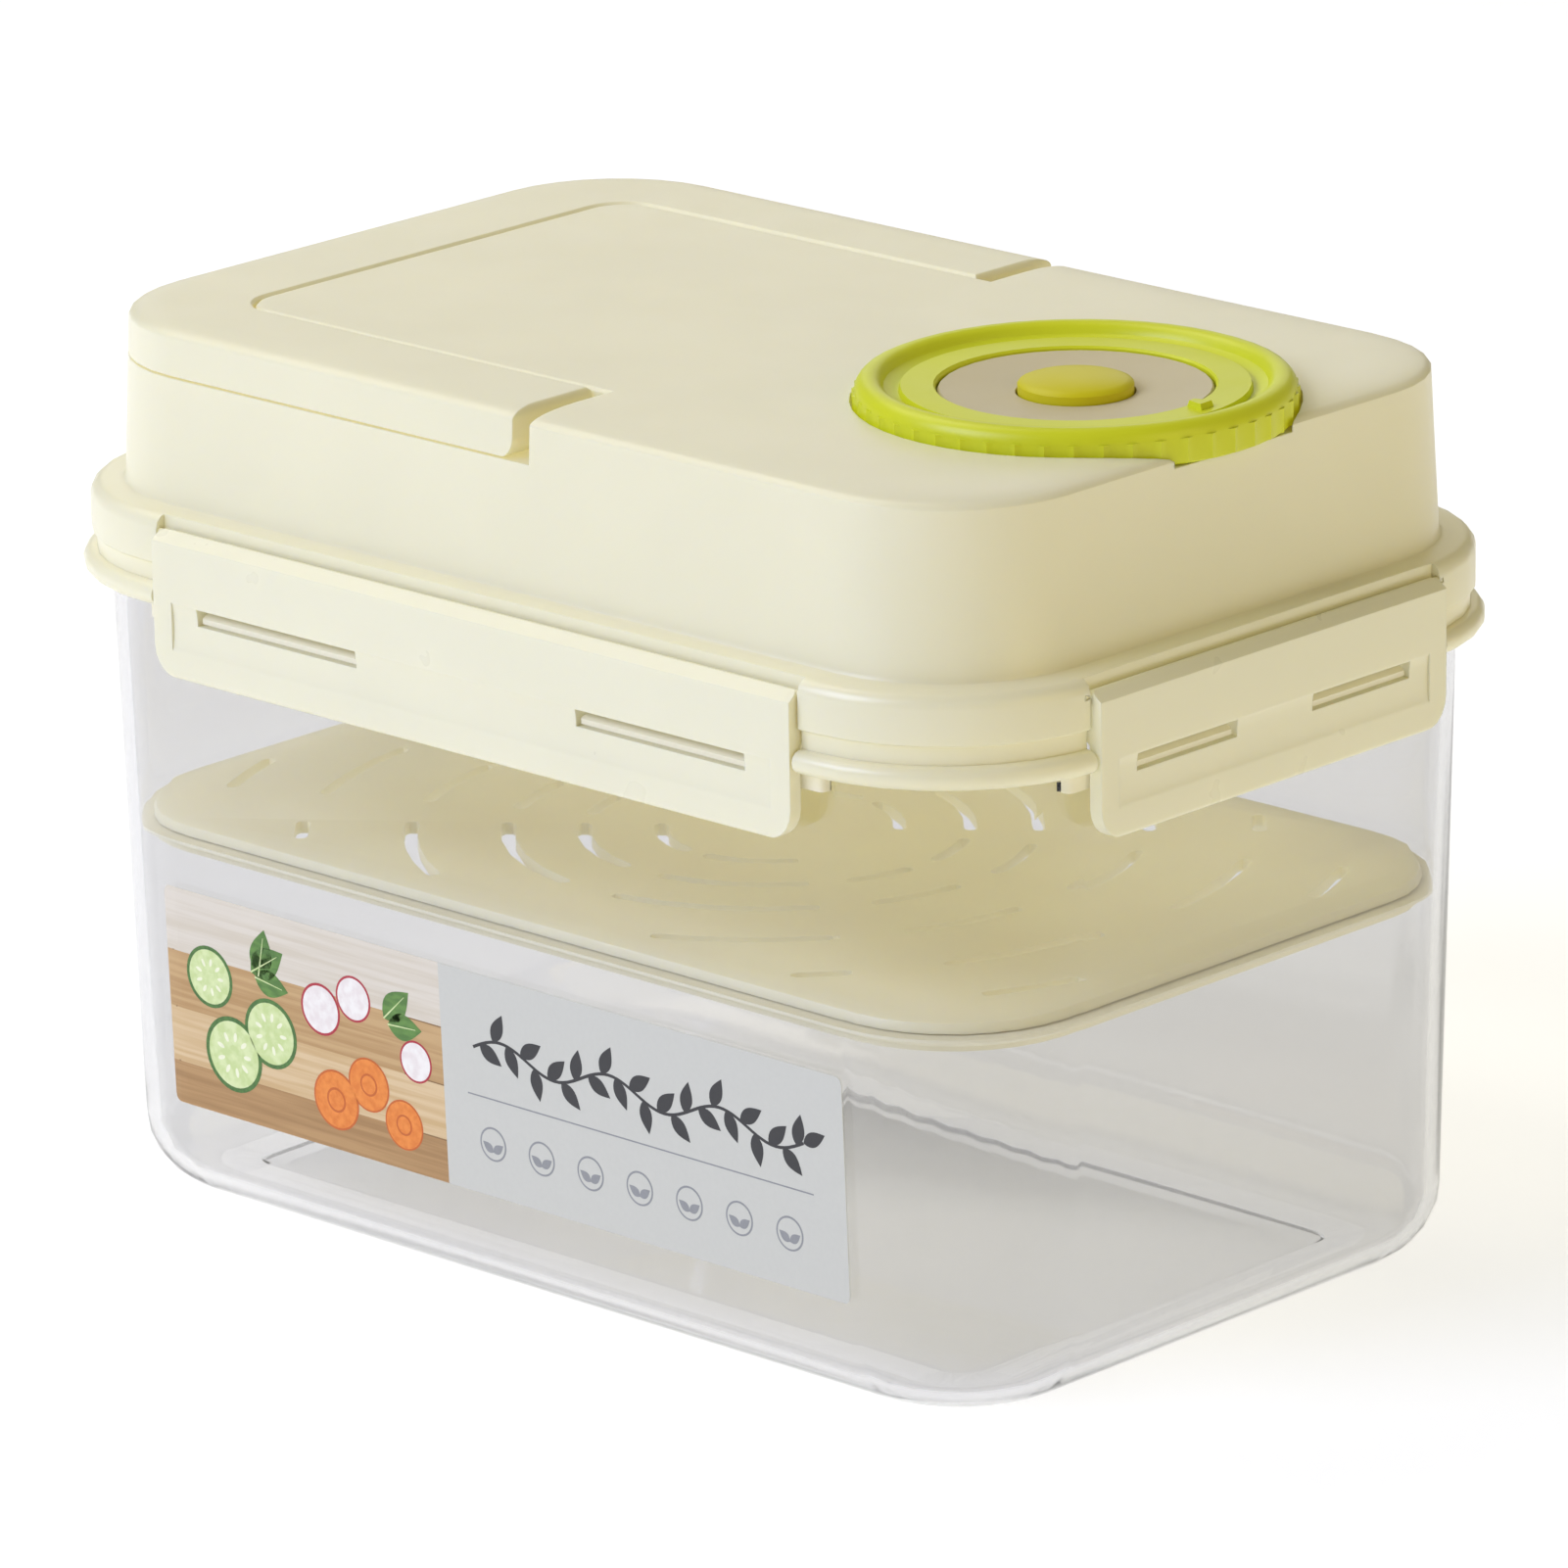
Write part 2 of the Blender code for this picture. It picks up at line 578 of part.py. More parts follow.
def make_lid(mat):
    outer = arc((-DOME_SHOULDER_INSET - TOP_ROUNDING_WIDTH, DOME_SHOULDER_Z),
                (TOP_ROUNDING_WIDTH, TOP_ROUNDING_HEIGHT), 90, 0, 6)
    outer += [(-DOME_FOOT_INSET, RIM_TOP + DOME_FOOT_ROUNDING),
              (-DOME_FOOT_INSET + DOME_FOOT_ROUNDING / 3, RIM_TOP + DOME_FOOT_ROUNDING / 3),
              (-DOME_FOOT_INSET + DOME_FOOT_ROUNDING, RIM_TOP)]
    outer += arc((RIM_REACH - RIM_ROUNDING, RIM_TOP - RIM_ROUNDING),
                 (RIM_ROUNDING, RIM_ROUNDING), 90, 0, 3)
    outer += [(RIM_REACH, RIM_BOTTOM), (RIM_REACH - RIM_EDGE, RIM_BOTTOM - RIM_EDGE),
              (GROOVE_REACH, RIM_BOTTOM - RIM_EDGE)]
    bead_half = BEAD_HEIGHT / 2
    outer += arc((BEAD_REACH - BEAD_ROUND, BEAD_BOTTOM + bead_half), (BEAD_ROUND, bead_half),
                 100, -90, 8)
    inside = [(LID_LIP_GAP, BEAD_BOTTOM)]
    roof = RIM_TOP - LID_WALL
    plug_out = -DOME_FOOT_INSET - LID_WALL + PLUG_WALL
    inside += [(LID_LIP_GAP, roof), (plug_out, roof), (plug_out, roof - PLUG_DEPTH)]
    lid = loft("lid_shell", [neck_ring(out, z) for out, z in outer + inside], PARTS, mat)

    hollow = [(-DOME_FOOT_INSET - LID_WALL, roof - PLUG_DEPTH - OVERRUN),
              (-DOME_FOOT_INSET - LID_WALL, RIM_TOP + DOME_FOOT_ROUNDING)]
    hollow += arc((-DOME_SHOULDER_INSET - TOP_ROUNDING_WIDTH, DOME_SHOULDER_Z - LID_WALL),
                  (TOP_ROUNDING_WIDTH - LID_WALL, TOP_ROUNDING_HEIGHT), 0, 90, 4)
    hollow = loft("lid_hollow", [neck_ring(out, z) for out, z in hollow], CUTTERS)
    boolean(hollow, handle_space("handle_space_inside", LID_WALL, HANDLE_SEAT_Z - LID_WALL))
    reach = DIAL_RADIUS + DIAL_POCKET_GAP
    ceiling = DIAL_FLOOR_Z - LID_WALL
    boolean(hollow, turned("dial_floor_inside", [
        (0, LID_TOP + OVERRUN), (reach + LID_WALL, LID_TOP + OVERRUN),
        (reach + LID_WALL, ceiling), (BOSS_RADIUS, ceiling),
        (BOSS_RADIUS, ceiling - BOSS_BELOW), (0, ceiling - BOSS_BELOW)], 48, CUTTERS))
    boolean(lid, hollow)

    seat_bottom = RIM_BOTTOM - 2 * RIM_EDGE
    under = BEAD_BOTTOM - OVERRUN
    far = BEAD_REACH + OVERRUN
    seats, sockets = [], []
    for side in SIDES:
        half, start, end, face = side_sizes(side)
        width = half + LATCH_END_GAP
        section = across(((far, RIM_TOP + OVERRUN), (LATCH_SEAT, RIM_TOP + OVERRUN),
                          (LATCH_SEAT, seat_bottom), (GAP / 3, seat_bottom),
                          (GAP / 3, under), (far, under)), face)
        seats.append(on_side(prism("seat", section, 'X', -width, width, CUTTERS), side))
        width = half + LATCH_PIN_LENGTH + GAP
        axis = across([(LATCH_PIN_OUT, LATCH_PIN_Z)], face)[0]
        socket = rod("socket", axis, LATCH_PIN_RADIUS + LATCH_PIN_PLAY, 12, 'X',
                     -width, width, CUTTERS)
        sockets.append(on_side(socket, side))
    boolean(lid, joined("latch_seats", seats))
    boolean(lid, joined("latch_sockets", sockets))
    boolean(lid, handle_space("handle_space", 0, HANDLE_SEAT_Z))

    inner = HANDLE_INNER_HALF_WIDTH - HANDLE_SIDE_GAP + OVERRUN
    boolean(lid, rod("pin_bore", (HANDLE_PIN_X, HANDLE_PIN_Z),
                     HANDLE_PIN_RADIUS + HANDLE_PIN_PLAY, 16, 'Y', -inner, inner, CUTTERS))

    bore = STEM_RADIUS + STEM_PLAY
    boolean(lid, turned("dial_pocket", [
        (0, LID_TOP + OVERRUN), (reach, LID_TOP + OVERRUN), (reach, DIAL_FLOOR_Z),
        (COLLAR_RADIUS, DIAL_FLOOR_Z), (COLLAR_RADIUS, COLLAR_TOP),
        (COLLAR_RADIUS - COLLAR_WALL, COLLAR_TOP), (COLLAR_RADIUS - COLLAR_WALL, DIAL_FLOOR_Z),
        (BOSS_RADIUS, DIAL_FLOOR_Z), (BOSS_RADIUS, DIAL_FLOOR_Z + BOSS_ABOVE),
        (bore, DIAL_FLOOR_Z + BOSS_ABOVE), (bore, ceiling - BOSS_BELOW - OVERRUN),
        (0, ceiling - BOSS_BELOW - OVERRUN)], 48, CUTTERS))
    return lid


def make_gasket(mat):
    roof = RIM_TOP - LID_WALL - GAP
    out = LID_LIP_GAP - GAP
    low = BRIM_Z + GAP
    middle = (out - GASKET_WIDTH + out) / 2
    section = [(out, roof), (out, low), (out - GASKET_LIP, low),
               (middle, low + GASKET_LIP), (out - GASKET_WIDTH + GASKET_LIP, low),
               (out - GASKET_WIDTH, low), (out - GASKET_WIDTH, roof)]
    return loop_loft("lid_gasket", [neck_ring(o, z) for o, z in section], PARTS, mat)


def make_latch(side, mat):
    half, start, end, face = side_sizes(side)
    step = LATCH_TOP - LATCH_STEP
    section = arc((LATCH_OUTER - LATCH_EDGE, LATCH_BOTTOM + LATCH_EDGE),
                  (LATCH_EDGE, LATCH_EDGE), 0, -90, 3)
    section += arc((LATCH_INNER + LATCH_EDGE, LATCH_BOTTOM + LATCH_EDGE),
                   (LATCH_EDGE, LATCH_EDGE), -90, -180, 3)
    section += [(LATCH_INNER, step), (LATCH_KNUCKLE_INNER, step + LATCH_EDGE),
                (LATCH_KNUCKLE_INNER, LATCH_PIN_Z - LATCH_KNUCKLE)]
    section += arc((LATCH_PIN_OUT, LATCH_PIN_Z), (LATCH_KNUCKLE, LATCH_KNUCKLE), 180, 90, 3)
    section += [(LATCH_OUTER - LATCH_BEVEL_WIDTH, LATCH_TOP),
                (LATCH_OUTER, LATCH_TOP - LATCH_BEVEL_HEIGHT)]
    latch = prism("latch_" + side, across(section, face), 'X', -half, half, PARTS, mat)

    outline = []
    for sx, sz, radius in ((1, 1, LATCH_UPPER_CORNER), (-1, 1, LATCH_UPPER_CORNER),
                           (-1, -1, LATCH_LOWER_CORNER), (1, -1, LATCH_LOWER_CORNER)):
        edge = LATCH_TOP if sz > 0 else LATCH_BOTTOM
        start_angle = {(1, 1): 0, (-1, 1): 90, (-1, -1): 180, (1, -1): 270}[(sx, sz)]
        outline += arc((sx * (half - radius), edge - sz * radius), (radius, radius),
                       start_angle, start_angle + 90, 5)
    front = face + LATCH_OUTER + OVERRUN
    blank = prism("latch_blank_" + side, outline, 'Y', -front, -face + OVERRUN, CUTTERS)
    boolean(latch, on_side(blank, side), 'INTERSECT')
    for mark, ends in (("a", (-end, -start)), ("b", (start, end))):
        slot = box("latch_slot_" + side + "_" + mark, (ends[0], -front, SLOT_BOTTOM),
                   (ends[1], -face + OVERRUN, SLOT_BOTTOM + SLOT_HEIGHT), CUTTERS)
        boolean(latch, on_side(slot, side))
    low, high = LATCH_BOTTOM + GRIP_ABOVE_EDGE, LATCH_BOTTOM + GRIP_ABOVE_EDGE + GRIP_HEIGHT
    dish = [(LATCH_OUTER + GAP, low), (LATCH_OUTER + GAP, high)]
    dish += arc((LATCH_OUTER, (low + high) / 2), (GRIP_DEPTH, GRIP_HEIGHT / 2), 90, 270, 6)
    width = half - GRIP_END_MARGIN
    grip = prism("latch_grip_" + side, across(dish, face), 'X', -width, width, CUTTERS)
    boolean(latch, on_side(grip, side))
    axis = across([(LATCH_PIN_OUT, LATCH_PIN_Z)], face)[0]
    for mark, way in (("a", -1), ("b", 1)):
        ends = sorted((way * (half - LATCH_PIN_ROOT), way * (half + LATCH_PIN_LENGTH)))
        stub = rod("latch_stub_" + side + "_" + mark, axis, LATCH_PIN_RADIUS, 12,
                   'X', ends[0], ends[1], CUTTERS)
        boolean(latch, on_side(stub, side), 'UNION')
    on_side(latch, side)
    turn = {'front': (0, -1), 'right': (1, 0), 'back': (0, 1), 'left': (-1, 0)}[side]
    reach = face + LATCH_PIN_OUT
    set_origin(latch, (turn[0] * reach, turn[1] * reach, LATCH_PIN_Z))
    return latch


def handle_rings(wall, roof):
    """Outlines of the handle's outside, or of the hollow under it."""
    low = HANDLE_SEAT_Z + HANDLE_SEAT_GAP
    shoulder = HANDLE_TOP - HANDLE_ROUNDING_HEIGHT
    points = [(-dome_inset(low) - wall, HANDLE_SEAT_Z - OVERRUN if wall else low)]
    points += arc((-dome_inset(shoulder) - HANDLE_ROUNDING_WIDTH, shoulder - roof),
                  (HANDLE_ROUNDING_WIDTH - wall, HANDLE_ROUNDING_HEIGHT), 0, 90, 6)
    return [neck_ring(out, z) for out, z in points]


def make_handle(mat):
    bottom = HANDLE_SEAT_Z + HANDLE_SEAT_GAP
    handle = loft("handle", handle_rings(0, 0), PARTS, mat)
    rings = []
    for grow, z in ((0, bottom - OVERRUN), (0, HANDLE_TOP - HANDLE_EDGE),
                    (HANDLE_EDGE, HANDLE_TOP), (HANDLE_EDGE, HANDLE_TOP + OVERRUN)):
        rings.append(level(rounded_outline(HANDLE_INNER_HALF_LENGTH + grow,
                                           HANDLE_INNER_HALF_WIDTH + grow,
                                           HANDLE_INNER_CORNER + grow), z))
    boolean(handle, loft("handle_window", rings, CUTTERS))

    low_corner = min(ARM_END_X - HANDLE_PIN_X, HANDLE_PIN_Z - bottom)
    left = -NECK_HALF_LENGTH - OVERRUN
    outline = [(left, HANDLE_TOP + GAP), (left, bottom - GAP)]
    outline += arc((ARM_END_X - low_corner, bottom + low_corner), (low_corner, low_corner + GAP),
                   -90, 0, 6)
    outline += arc((ARM_END_X - ARM_TOP_CORNER, HANDLE_TOP - ARM_TOP_CORNER),
                   (ARM_TOP_CORNER, ARM_TOP_CORNER + GAP), 0, 90, 4)
    wide = NECK_HALF_WIDTH + OVERRUN
    boolean(handle, prism("handle_side_view", outline, 'Y', -wide, wide, CUTTERS), 'INTERSECT')

    channel = loft("handle_channel", handle_rings(HANDLE_WALL, HANDLE_ROOF), CUTTERS)
    core = prism("handle_channel_core",
                 rounded_outline(HANDLE_INNER_HALF_LENGTH + HANDLE_WALL,
                                 HANDLE_INNER_HALF_WIDTH + HANDLE_WALL,
                                 HANDLE_INNER_CORNER + HANDLE_WALL), 'Z',
                 HANDLE_SEAT_Z - 2 * OVERRUN, HANDLE_TOP + OVERRUN, CUTTERS)
    boolean(channel, core)
    solid_from = ARM_END_X - ARM_SOLID_LENGTH
    ends = box("handle_solid_ends", (solid_from, -wide, HANDLE_SEAT_Z - 2 * OVERRUN),
               (NECK_HALF_LENGTH + OVERRUN, wide, HANDLE_TOP + OVERRUN), CUTTERS)
    boolean(channel, ends)
    boolean(handle, channel)

    depth = HANDLE_INNER_HALF_WIDTH + HANDLE_PIN_IN_ARM + GAP
    boolean(handle, rod("handle_bore", (HANDLE_PIN_X, HANDLE_PIN_Z),
                        HANDLE_PIN_RADIUS + HANDLE_PIN_PLAY, 16, 'Y', -depth, depth, CUTTERS))
    set_origin(handle, (HANDLE_PIN_X, 0, HANDLE_PIN_Z))
    return handle


def make_handle_pin(name, way, mat):
    start = HANDLE_INNER_HALF_WIDTH - HANDLE_SIDE_GAP - LID_WALL - HANDLE_PIN_IN_LID
    end = HANDLE_INNER_HALF_WIDTH + HANDLE_PIN_IN_ARM
    low, high = sorted((way * start, way * end))
    return rod(name, (HANDLE_PIN_X, HANDLE_PIN_Z), HANDLE_PIN_RADIUS, 16,
               'Y', low, high, PARTS, mat)


def make_dial_ring(mat):
    low = DIAL_FLOOR_Z + GAP
    lip_centre = (DIAL_RADIUS - DIAL_LIP_WIDTH / 2, DIAL_CREST_Z - DIAL_LIP_HEIGHT)
    section = [(DIAL_RADIUS - DIAL_EDGE, low), (DIAL_RADIUS, low + DIAL_EDGE)]
    section += arc(lip_centre, (DIAL_LIP_WIDTH / 2, DIAL_LIP_HEIGHT), 0, 165, 6)
    section += [(DIAL_VALLEY_RADIUS, DIAL_VALLEY_Z), (DIAL_FLAT_RADIUS, DIAL_VALLEY_Z),
                (DIAL_FLAT_RADIUS - DIAL_EDGE, DIAL_FLAT_Z),
                (DIAL_BORE_RADIUS + DIAL_EDGE, DIAL_FLAT_Z),
                (DIAL_BORE_RADIUS, DIAL_FLAT_Z - DIAL_EDGE),
                (DIAL_BORE_RADIUS, low + DIAL_FOOT_HEIGHT),
                (DIAL_FOOT_RADIUS, low + DIAL_FOOT_HEIGHT), (DIAL_FOOT_RADIUS, low),
                (DIAL_BORE_RADIUS + DIAL_WALL, low),
                (DIAL_BORE_RADIUS + DIAL_WALL, DIAL_VALLEY_Z - DIAL_ROOF),
                (DIAL_RADIUS - DIAL_WALL, DIAL_VALLEY_Z - DIAL_ROOF),
                (DIAL_RADIUS - DIAL_WALL, low)]

    ring = turned("dial_ring", section, 48, PARTS, mat, DIAL_FLOOR_Z)
    band = []
    for z in (low + DIAL_EDGE, lip_centre[1]):
        teeth, inside = [], []
        for k in range(2 * DIAL_KNURLS):
            angle = math.pi * k / DIAL_KNURLS
            way = Vector((math.cos(angle), math.sin(angle), 0))
            middle = Vector((DIAL_X, 0, z))
            teeth.append(middle + way * (DIAL_RADIUS + (k % 2 - 0.5) * 2 * DIAL_KNURL_DEPTH))
            inside.append(middle + way * (DIAL_RADIUS - DIAL_WALL / 2))
        band += [teeth, inside] if not band else [inside, teeth]
    boolean(ring, loop_loft("knurls", band, CUTTERS), 'UNION')
    first = DIAL_BORE_RADIUS + DIAL_EDGE
    tip = (DIAL_X + first, 0)
    half = POINTER_WIDTH / 2
    outline = [(tip[0], -half / 2), (tip[0] + POINTER_LENGTH, -half),
               (tip[0] + POINTER_LENGTH, half), (tip[0], half / 2)]
    top = DIAL_FLAT_Z + POINTER_HEIGHT
    shrink = half / 4
    upper = [(x + (shrink if x == tip[0] else -shrink), y * (1 - 0.2)) for x, y in outline]
    nub = loft("pointer", [level(outline, DIAL_FLAT_Z - DIAL_EDGE), level(upper, top)], CUTTERS)
    turn = Matrix.Translation((DIAL_X, 0, 0)) @ Matrix.Rotation(
        math.radians(POINTER_ANGLE), 4, 'Z') @ Matrix.Translation((-DIAL_X, 0, 0))
    nub.data.transform(turn)
    boolean(ring, nub, 'UNION')
    return ring


def make_dial_disc(mat):
    edge = DIAL_BORE_RADIUS - GAP
    under = COLLAR_TOP + DISC_FLANGE_GAP
    top = DIAL_FLAT_Z - DISC_EDGE_DROP
    hole = BUTTON_RADIUS + BUTTON_PLAY
    skirt_out = COLLAR_RADIUS - COLLAR_WALL - GAP
    middle = (edge + hole) / 2
    section = [(edge, under), (edge, top - DIAL_EDGE), (edge - DIAL_EDGE, top),
               (middle, top - DISC_DISH * 3 / 4), (hole, top - DISC_DISH),
               (hole, top - DISC_DISH - DISC_THICKNESS),
               (skirt_out - DISC_SKIRT, top - DISC_DISH - DISC_THICKNESS),
               (skirt_out - DISC_SKIRT, DIAL_FLOOR_Z + GAP), (skirt_out, DIAL_FLOOR_Z + GAP),
               (skirt_out, under)]
    return turned("dial_disc", section, 36, PARTS, mat, DIAL_FLOOR_Z)


def make_vent(button_mat, stem_mat, seal_mat, spring_mat):
    roof = BUTTON_SIDE_Z - BUTTON_PLAY
    socket = roof - BUTTON_SOCKET_DEPTH
    dome = arc((0, BUTTON_SIDE_Z), (BUTTON_RADIUS, BUTTON_TOP_Z - BUTTON_SIDE_Z), 90, 0, 6)
    section = dome + [(BUTTON_RADIUS, BUTTON_SKIRT_Z), (BUTTON_RADIUS - BUTTON_WALL, BUTTON_SKIRT_Z),
                      (BUTTON_RADIUS - BUTTON_WALL, roof), (BUTTON_SOCKET_RADIUS, roof),
                      (BUTTON_SOCKET_RADIUS, socket), (STEM_RADIUS + GAP / 3, socket),
                      (STEM_RADIUS + GAP / 3, roof), (0, roof)]
    section[0] = (0, BUTTON_TOP_Z)
    button = turned("vent_button", section, 28, PARTS, button_mat, BUTTON_SKIRT_Z)

    seat = DIAL_FLOOR_Z - LID_WALL - BOSS_BELOW
    seal_top = seat - GAP
    seal_low = seal_top - SEAL_THICKNESS
    section = [(0, roof - GAP), (STEM_RADIUS, roof - GAP), (STEM_RADIUS, seal_top + GAP),
               (STEM_NECK_RADIUS, seal_top + GAP), (STEM_NECK_RADIUS, seal_low - GAP),
               (STEM_HEAD_RADIUS, seal_low - GAP),
               (STEM_HEAD_RADIUS - STEM_HEAD_HEIGHT / 2, seal_low - GAP - STEM_HEAD_HEIGHT),
               (0, seal_low - GAP - STEM_HEAD_HEIGHT)]
    stem = turned("vent_stem", section, 16, PARTS, stem_mat, seat)

    bore = STEM_NECK_RADIUS + GAP / 3
    section = [(bore, seal_top), (SEAL_RADIUS - SEAL_LIP, seal_top - SEAL_LIP),
               (SEAL_RADIUS, seal_top), (SEAL_RADIUS, seal_top - SEAL_LIP),
               (SEAL_RADIUS - SEAL_THICKNESS, seal_low), (bore, seal_low)]
    seal = turned("vent_seal", section, 20, PARTS, seal_mat, seat)

    low, high = DIAL_FLOOR_Z + SPRING_WIRE + GAP / 6, roof - SPRING_WIRE - GAP / 6
    curve = bpy.data.curves.new("vent_spring", 'CURVE')
    curve.dimensions = '3D'
    curve.bevel_depth = SPRING_WIRE
    curve.bevel_resolution = 1
    curve.use_fill_caps = True
    line = curve.splines.new('POLY')
    count = SPRING_TURNS * SPRING_STEPS
    radius = BUTTON_RADIUS - SPRING_INSET
    line.points.add(count)
    for i in range(count + 1):
        angle = 2 * math.pi * i / SPRING_STEPS
        line.points[i].co = (radius * math.cos(angle), radius * math.sin(angle),
                             (high - low) * i / count, 1)
    spring = put("vent_spring", curve_mesh(bpy.data.objects.new("coil", curve)), PARTS, spring_mat)
    spring.location = (DIAL_X, 0, low)
    return button, stem, seal, spring


def plate_ring(inset, z):
    """Outline of the plate, parallel to the tank's inside at rest."""
    ring = tank_ring(RING_TOP, TANK_WALL + PLATE_CLEARANCE + inset)
    for v in ring:
        v.z = z
    return ring


def slot_outline(radius, start, end):
    """A curved slot with round ends, as points around the plate's centre."""
    half = SLOT_WIDTH / 2
    points = []
    for r, first, last, tip in ((radius + half, start, end, end), (radius - half, end, start, start)):
        points += arc((0, 0), (r, r), first, last, 4)
        centre = (radius * math.cos(math.radians(tip)), radius * math.sin(math.radians(tip)))
        turn = tip if tip == end else tip + 180
        points += arc(centre, (half, half), turn, turn + 180, 3)[1:-1]
    return points


def make_plate(mat, ring_mat):
    rings = [plate_ring(PLATE_ROUNDING, PLATE_TOP),
             plate_ring(PLATE_ROUNDING / 3, PLATE_TOP - PLATE_ROUNDING / 3),
             plate_ring(0, PLATE_TOP - PLATE_ROUNDING), plate_ring(0, RING_TOP),
             plate_ring(RING_SEAT, RING_TOP), plate_ring(RING_SEAT, PLATE_BOTTOM),
             plate_ring(RING_SEAT + PLATE_SKIRT, PLATE_BOTTOM),
             plate_ring(RING_SEAT + PLATE_SKIRT, PLATE_TOP - PLATE_THICKNESS)]
    plate = loft("press_plate", rings, PARTS, mat)

    edge = plate_ring(0, 0)
    half_x, half_y = max(v.x for v in edge), max(v.y for v in edge)
    reach_x, reach_y = half_x - SLOT_EDGE_MARGIN, half_y - SLOT_EDGE_MARGIN
    slots = []
    for radius in SLOT_RING_RADII:
        for start, end in SLOT_SECTORS:
            if radius == SLOT_RING_RADII[0] and start == SLOT_SECTORS[0][0]:
                continue
            if radius > reach_y:
                end = min(end, math.degrees(math.asin(reach_y / radius)))
            if radius > reach_x:
                start = max(start, math.degrees(math.acos(reach_x / radius)))
            if math.radians(end - start) * radius < SLOT_SHORTEST:
                continue
            shape = slot_outline(radius, start, end)
            for sx, sy in ((1, 1), (-1, 1), (-1, -1), (1, -1)):
                slots.append([(sx * x, sy * y) for x, y in shape])
    boolean(plate, prisms("plate_slots", slots, 'Z', PLATE_TOP - PLATE_THICKNESS - OVERRUN,
                          PLATE_TOP + OVERRUN, CUTTERS))

    seat = RING_SEAT - GAP
    low, high = PLATE_BOTTOM, RING_TOP - GAP
    upper = tank_ring(RING_TOP, TANK_WALL + RING_WALL_GAP)
    lower = tank_ring(RING_TOP - RING_LIP, TANK_WALL + RING_WALL_GAP)
    for v in upper:
        v.z = high
    rings = [plate_ring(seat, high), upper, lower, plate_ring(0, low + RING_LIP),
             plate_ring(0, low), plate_ring(seat, low)]
    seal = loop_loft("plate_ring", rings, PARTS, ring_mat)
    origin = (0, 0, PLATE_BOTTOM)
    set_origin(plate, origin)
    set_origin(seal, origin)
    return plate, seal


clear_scene()
PARTS = new_collection("pickle_container")
CUTTERS = new_collection("cutters")
CUTTERS.hide_render = True

CREAM = (0.80, 0.77, 0.66)
LIME = (0.52, 0.58, 0.05)
body_clear = material("clear_plastic", (0.90, 0.91, 0.91), 0.08, clear=0.9)
body_cream = material("cream_plastic", CREAM, 0.38)
gasket_soft = material("gasket_silicone", (0.78, 0.76, 0.70), 0.60)
handle_cream = material("handle_cream_plastic", CREAM, 0.40)
latch_cream = material("latch_cream_plastic", CREAM, 0.34)
plate_cream = material("plate_cream_plastic", (0.72, 0.67, 0.48), 0.40)
ring_soft = material("ring_silicone", (0.76, 0.72, 0.56), 0.60)
dial_green = material("dial_green_plastic", LIME, 0.36)
disc_grey = material("disc_grey_plastic", (0.57, 0.50, 0.40), 0.45)
button_lime = material("button_lime_plastic", (0.60, 0.58, 0.04), 0.35)
stem_white = material("stem_white_plastic", (0.78, 0.77, 0.72), 0.45)
seal_soft = material("seal_silicone", (0.75, 0.74, 0.70), 0.60)
steel = material("steel", (0.56, 0.56, 0.57), 0.30, metallic=1.0)

make_tank(body_clear)
make_lid(body_cream)
make_gasket(gasket_soft)
for SIDE in SIDES:
    make_latch(SIDE, latch_cream)
make_handle(handle_cream)
make_handle_pin("handle_pin_front", -1, steel)
make_handle_pin("handle_pin_back", 1, steel)
make_dial_ring(dial_green)
make_dial_disc(disc_grey)
make_vent(button_lime, stem_white, seal_soft, steel)
make_plate(plate_cream, ring_soft)
bpy.context.view_layer.update()
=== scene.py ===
# %% [markdown]
# # A pickle container, dressed for its picture
#
# The shapes of this container are finished: they come from its CAD model as a fixed frame, one
# object per moulded piece. What is left is everything that the eye needs to believe them. This
# lesson smooths and softens the edges of the mouldings, gives each plastic, rubber and steel
# surface its own procedural finish, makes the front sticker, and sets up the camera and the light.
#
# All lengths are in metres. The long side lies along X with the dial at +X, the front with the
# sticker faces -Y, and Z is up.

# %% Load the frame
import math

import bmesh
import bpy
from mathutils import Matrix, Vector
from mathutils.bvhtree import BVHTree


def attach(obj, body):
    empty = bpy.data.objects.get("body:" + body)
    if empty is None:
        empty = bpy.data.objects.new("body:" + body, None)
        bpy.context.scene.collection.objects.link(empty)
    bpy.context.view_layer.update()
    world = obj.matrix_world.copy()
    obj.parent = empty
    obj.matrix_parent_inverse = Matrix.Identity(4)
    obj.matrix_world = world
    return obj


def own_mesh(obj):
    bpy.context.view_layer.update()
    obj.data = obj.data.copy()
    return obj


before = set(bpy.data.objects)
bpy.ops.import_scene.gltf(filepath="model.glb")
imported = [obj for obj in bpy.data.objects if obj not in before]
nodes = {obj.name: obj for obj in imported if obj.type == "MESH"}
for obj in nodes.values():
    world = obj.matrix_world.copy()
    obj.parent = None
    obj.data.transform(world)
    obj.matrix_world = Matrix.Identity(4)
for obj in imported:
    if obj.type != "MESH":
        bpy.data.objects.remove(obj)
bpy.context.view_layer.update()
MM = 0.001
print("pieces in the frame:", len(nodes))

# %% [markdown]
# ## Two small helpers
#
# A colour that is read off a screen is an sRGB value, written as six hex digits, but a shader
# works with linear light. One function turns the first into the second. Every node tree below,
# for surfaces and for geometry alike, is then written with one function that adds a node, sets
# it and links it in a single line, so a tree reads from top to bottom.

# %% Colour and node helpers
def linear(hex_colour):
    """The linear RGBA of an sRGB colour such as "e9e4cb"."""
    channels = [int(hex_colour[i:i + 2], 16) / 255 for i in (0, 2, 4)]
    return [c / 12.92 if c <= 0.04045 else ((c + 0.055) / 1.055) ** 2.4 for c in channels] + [1.0]


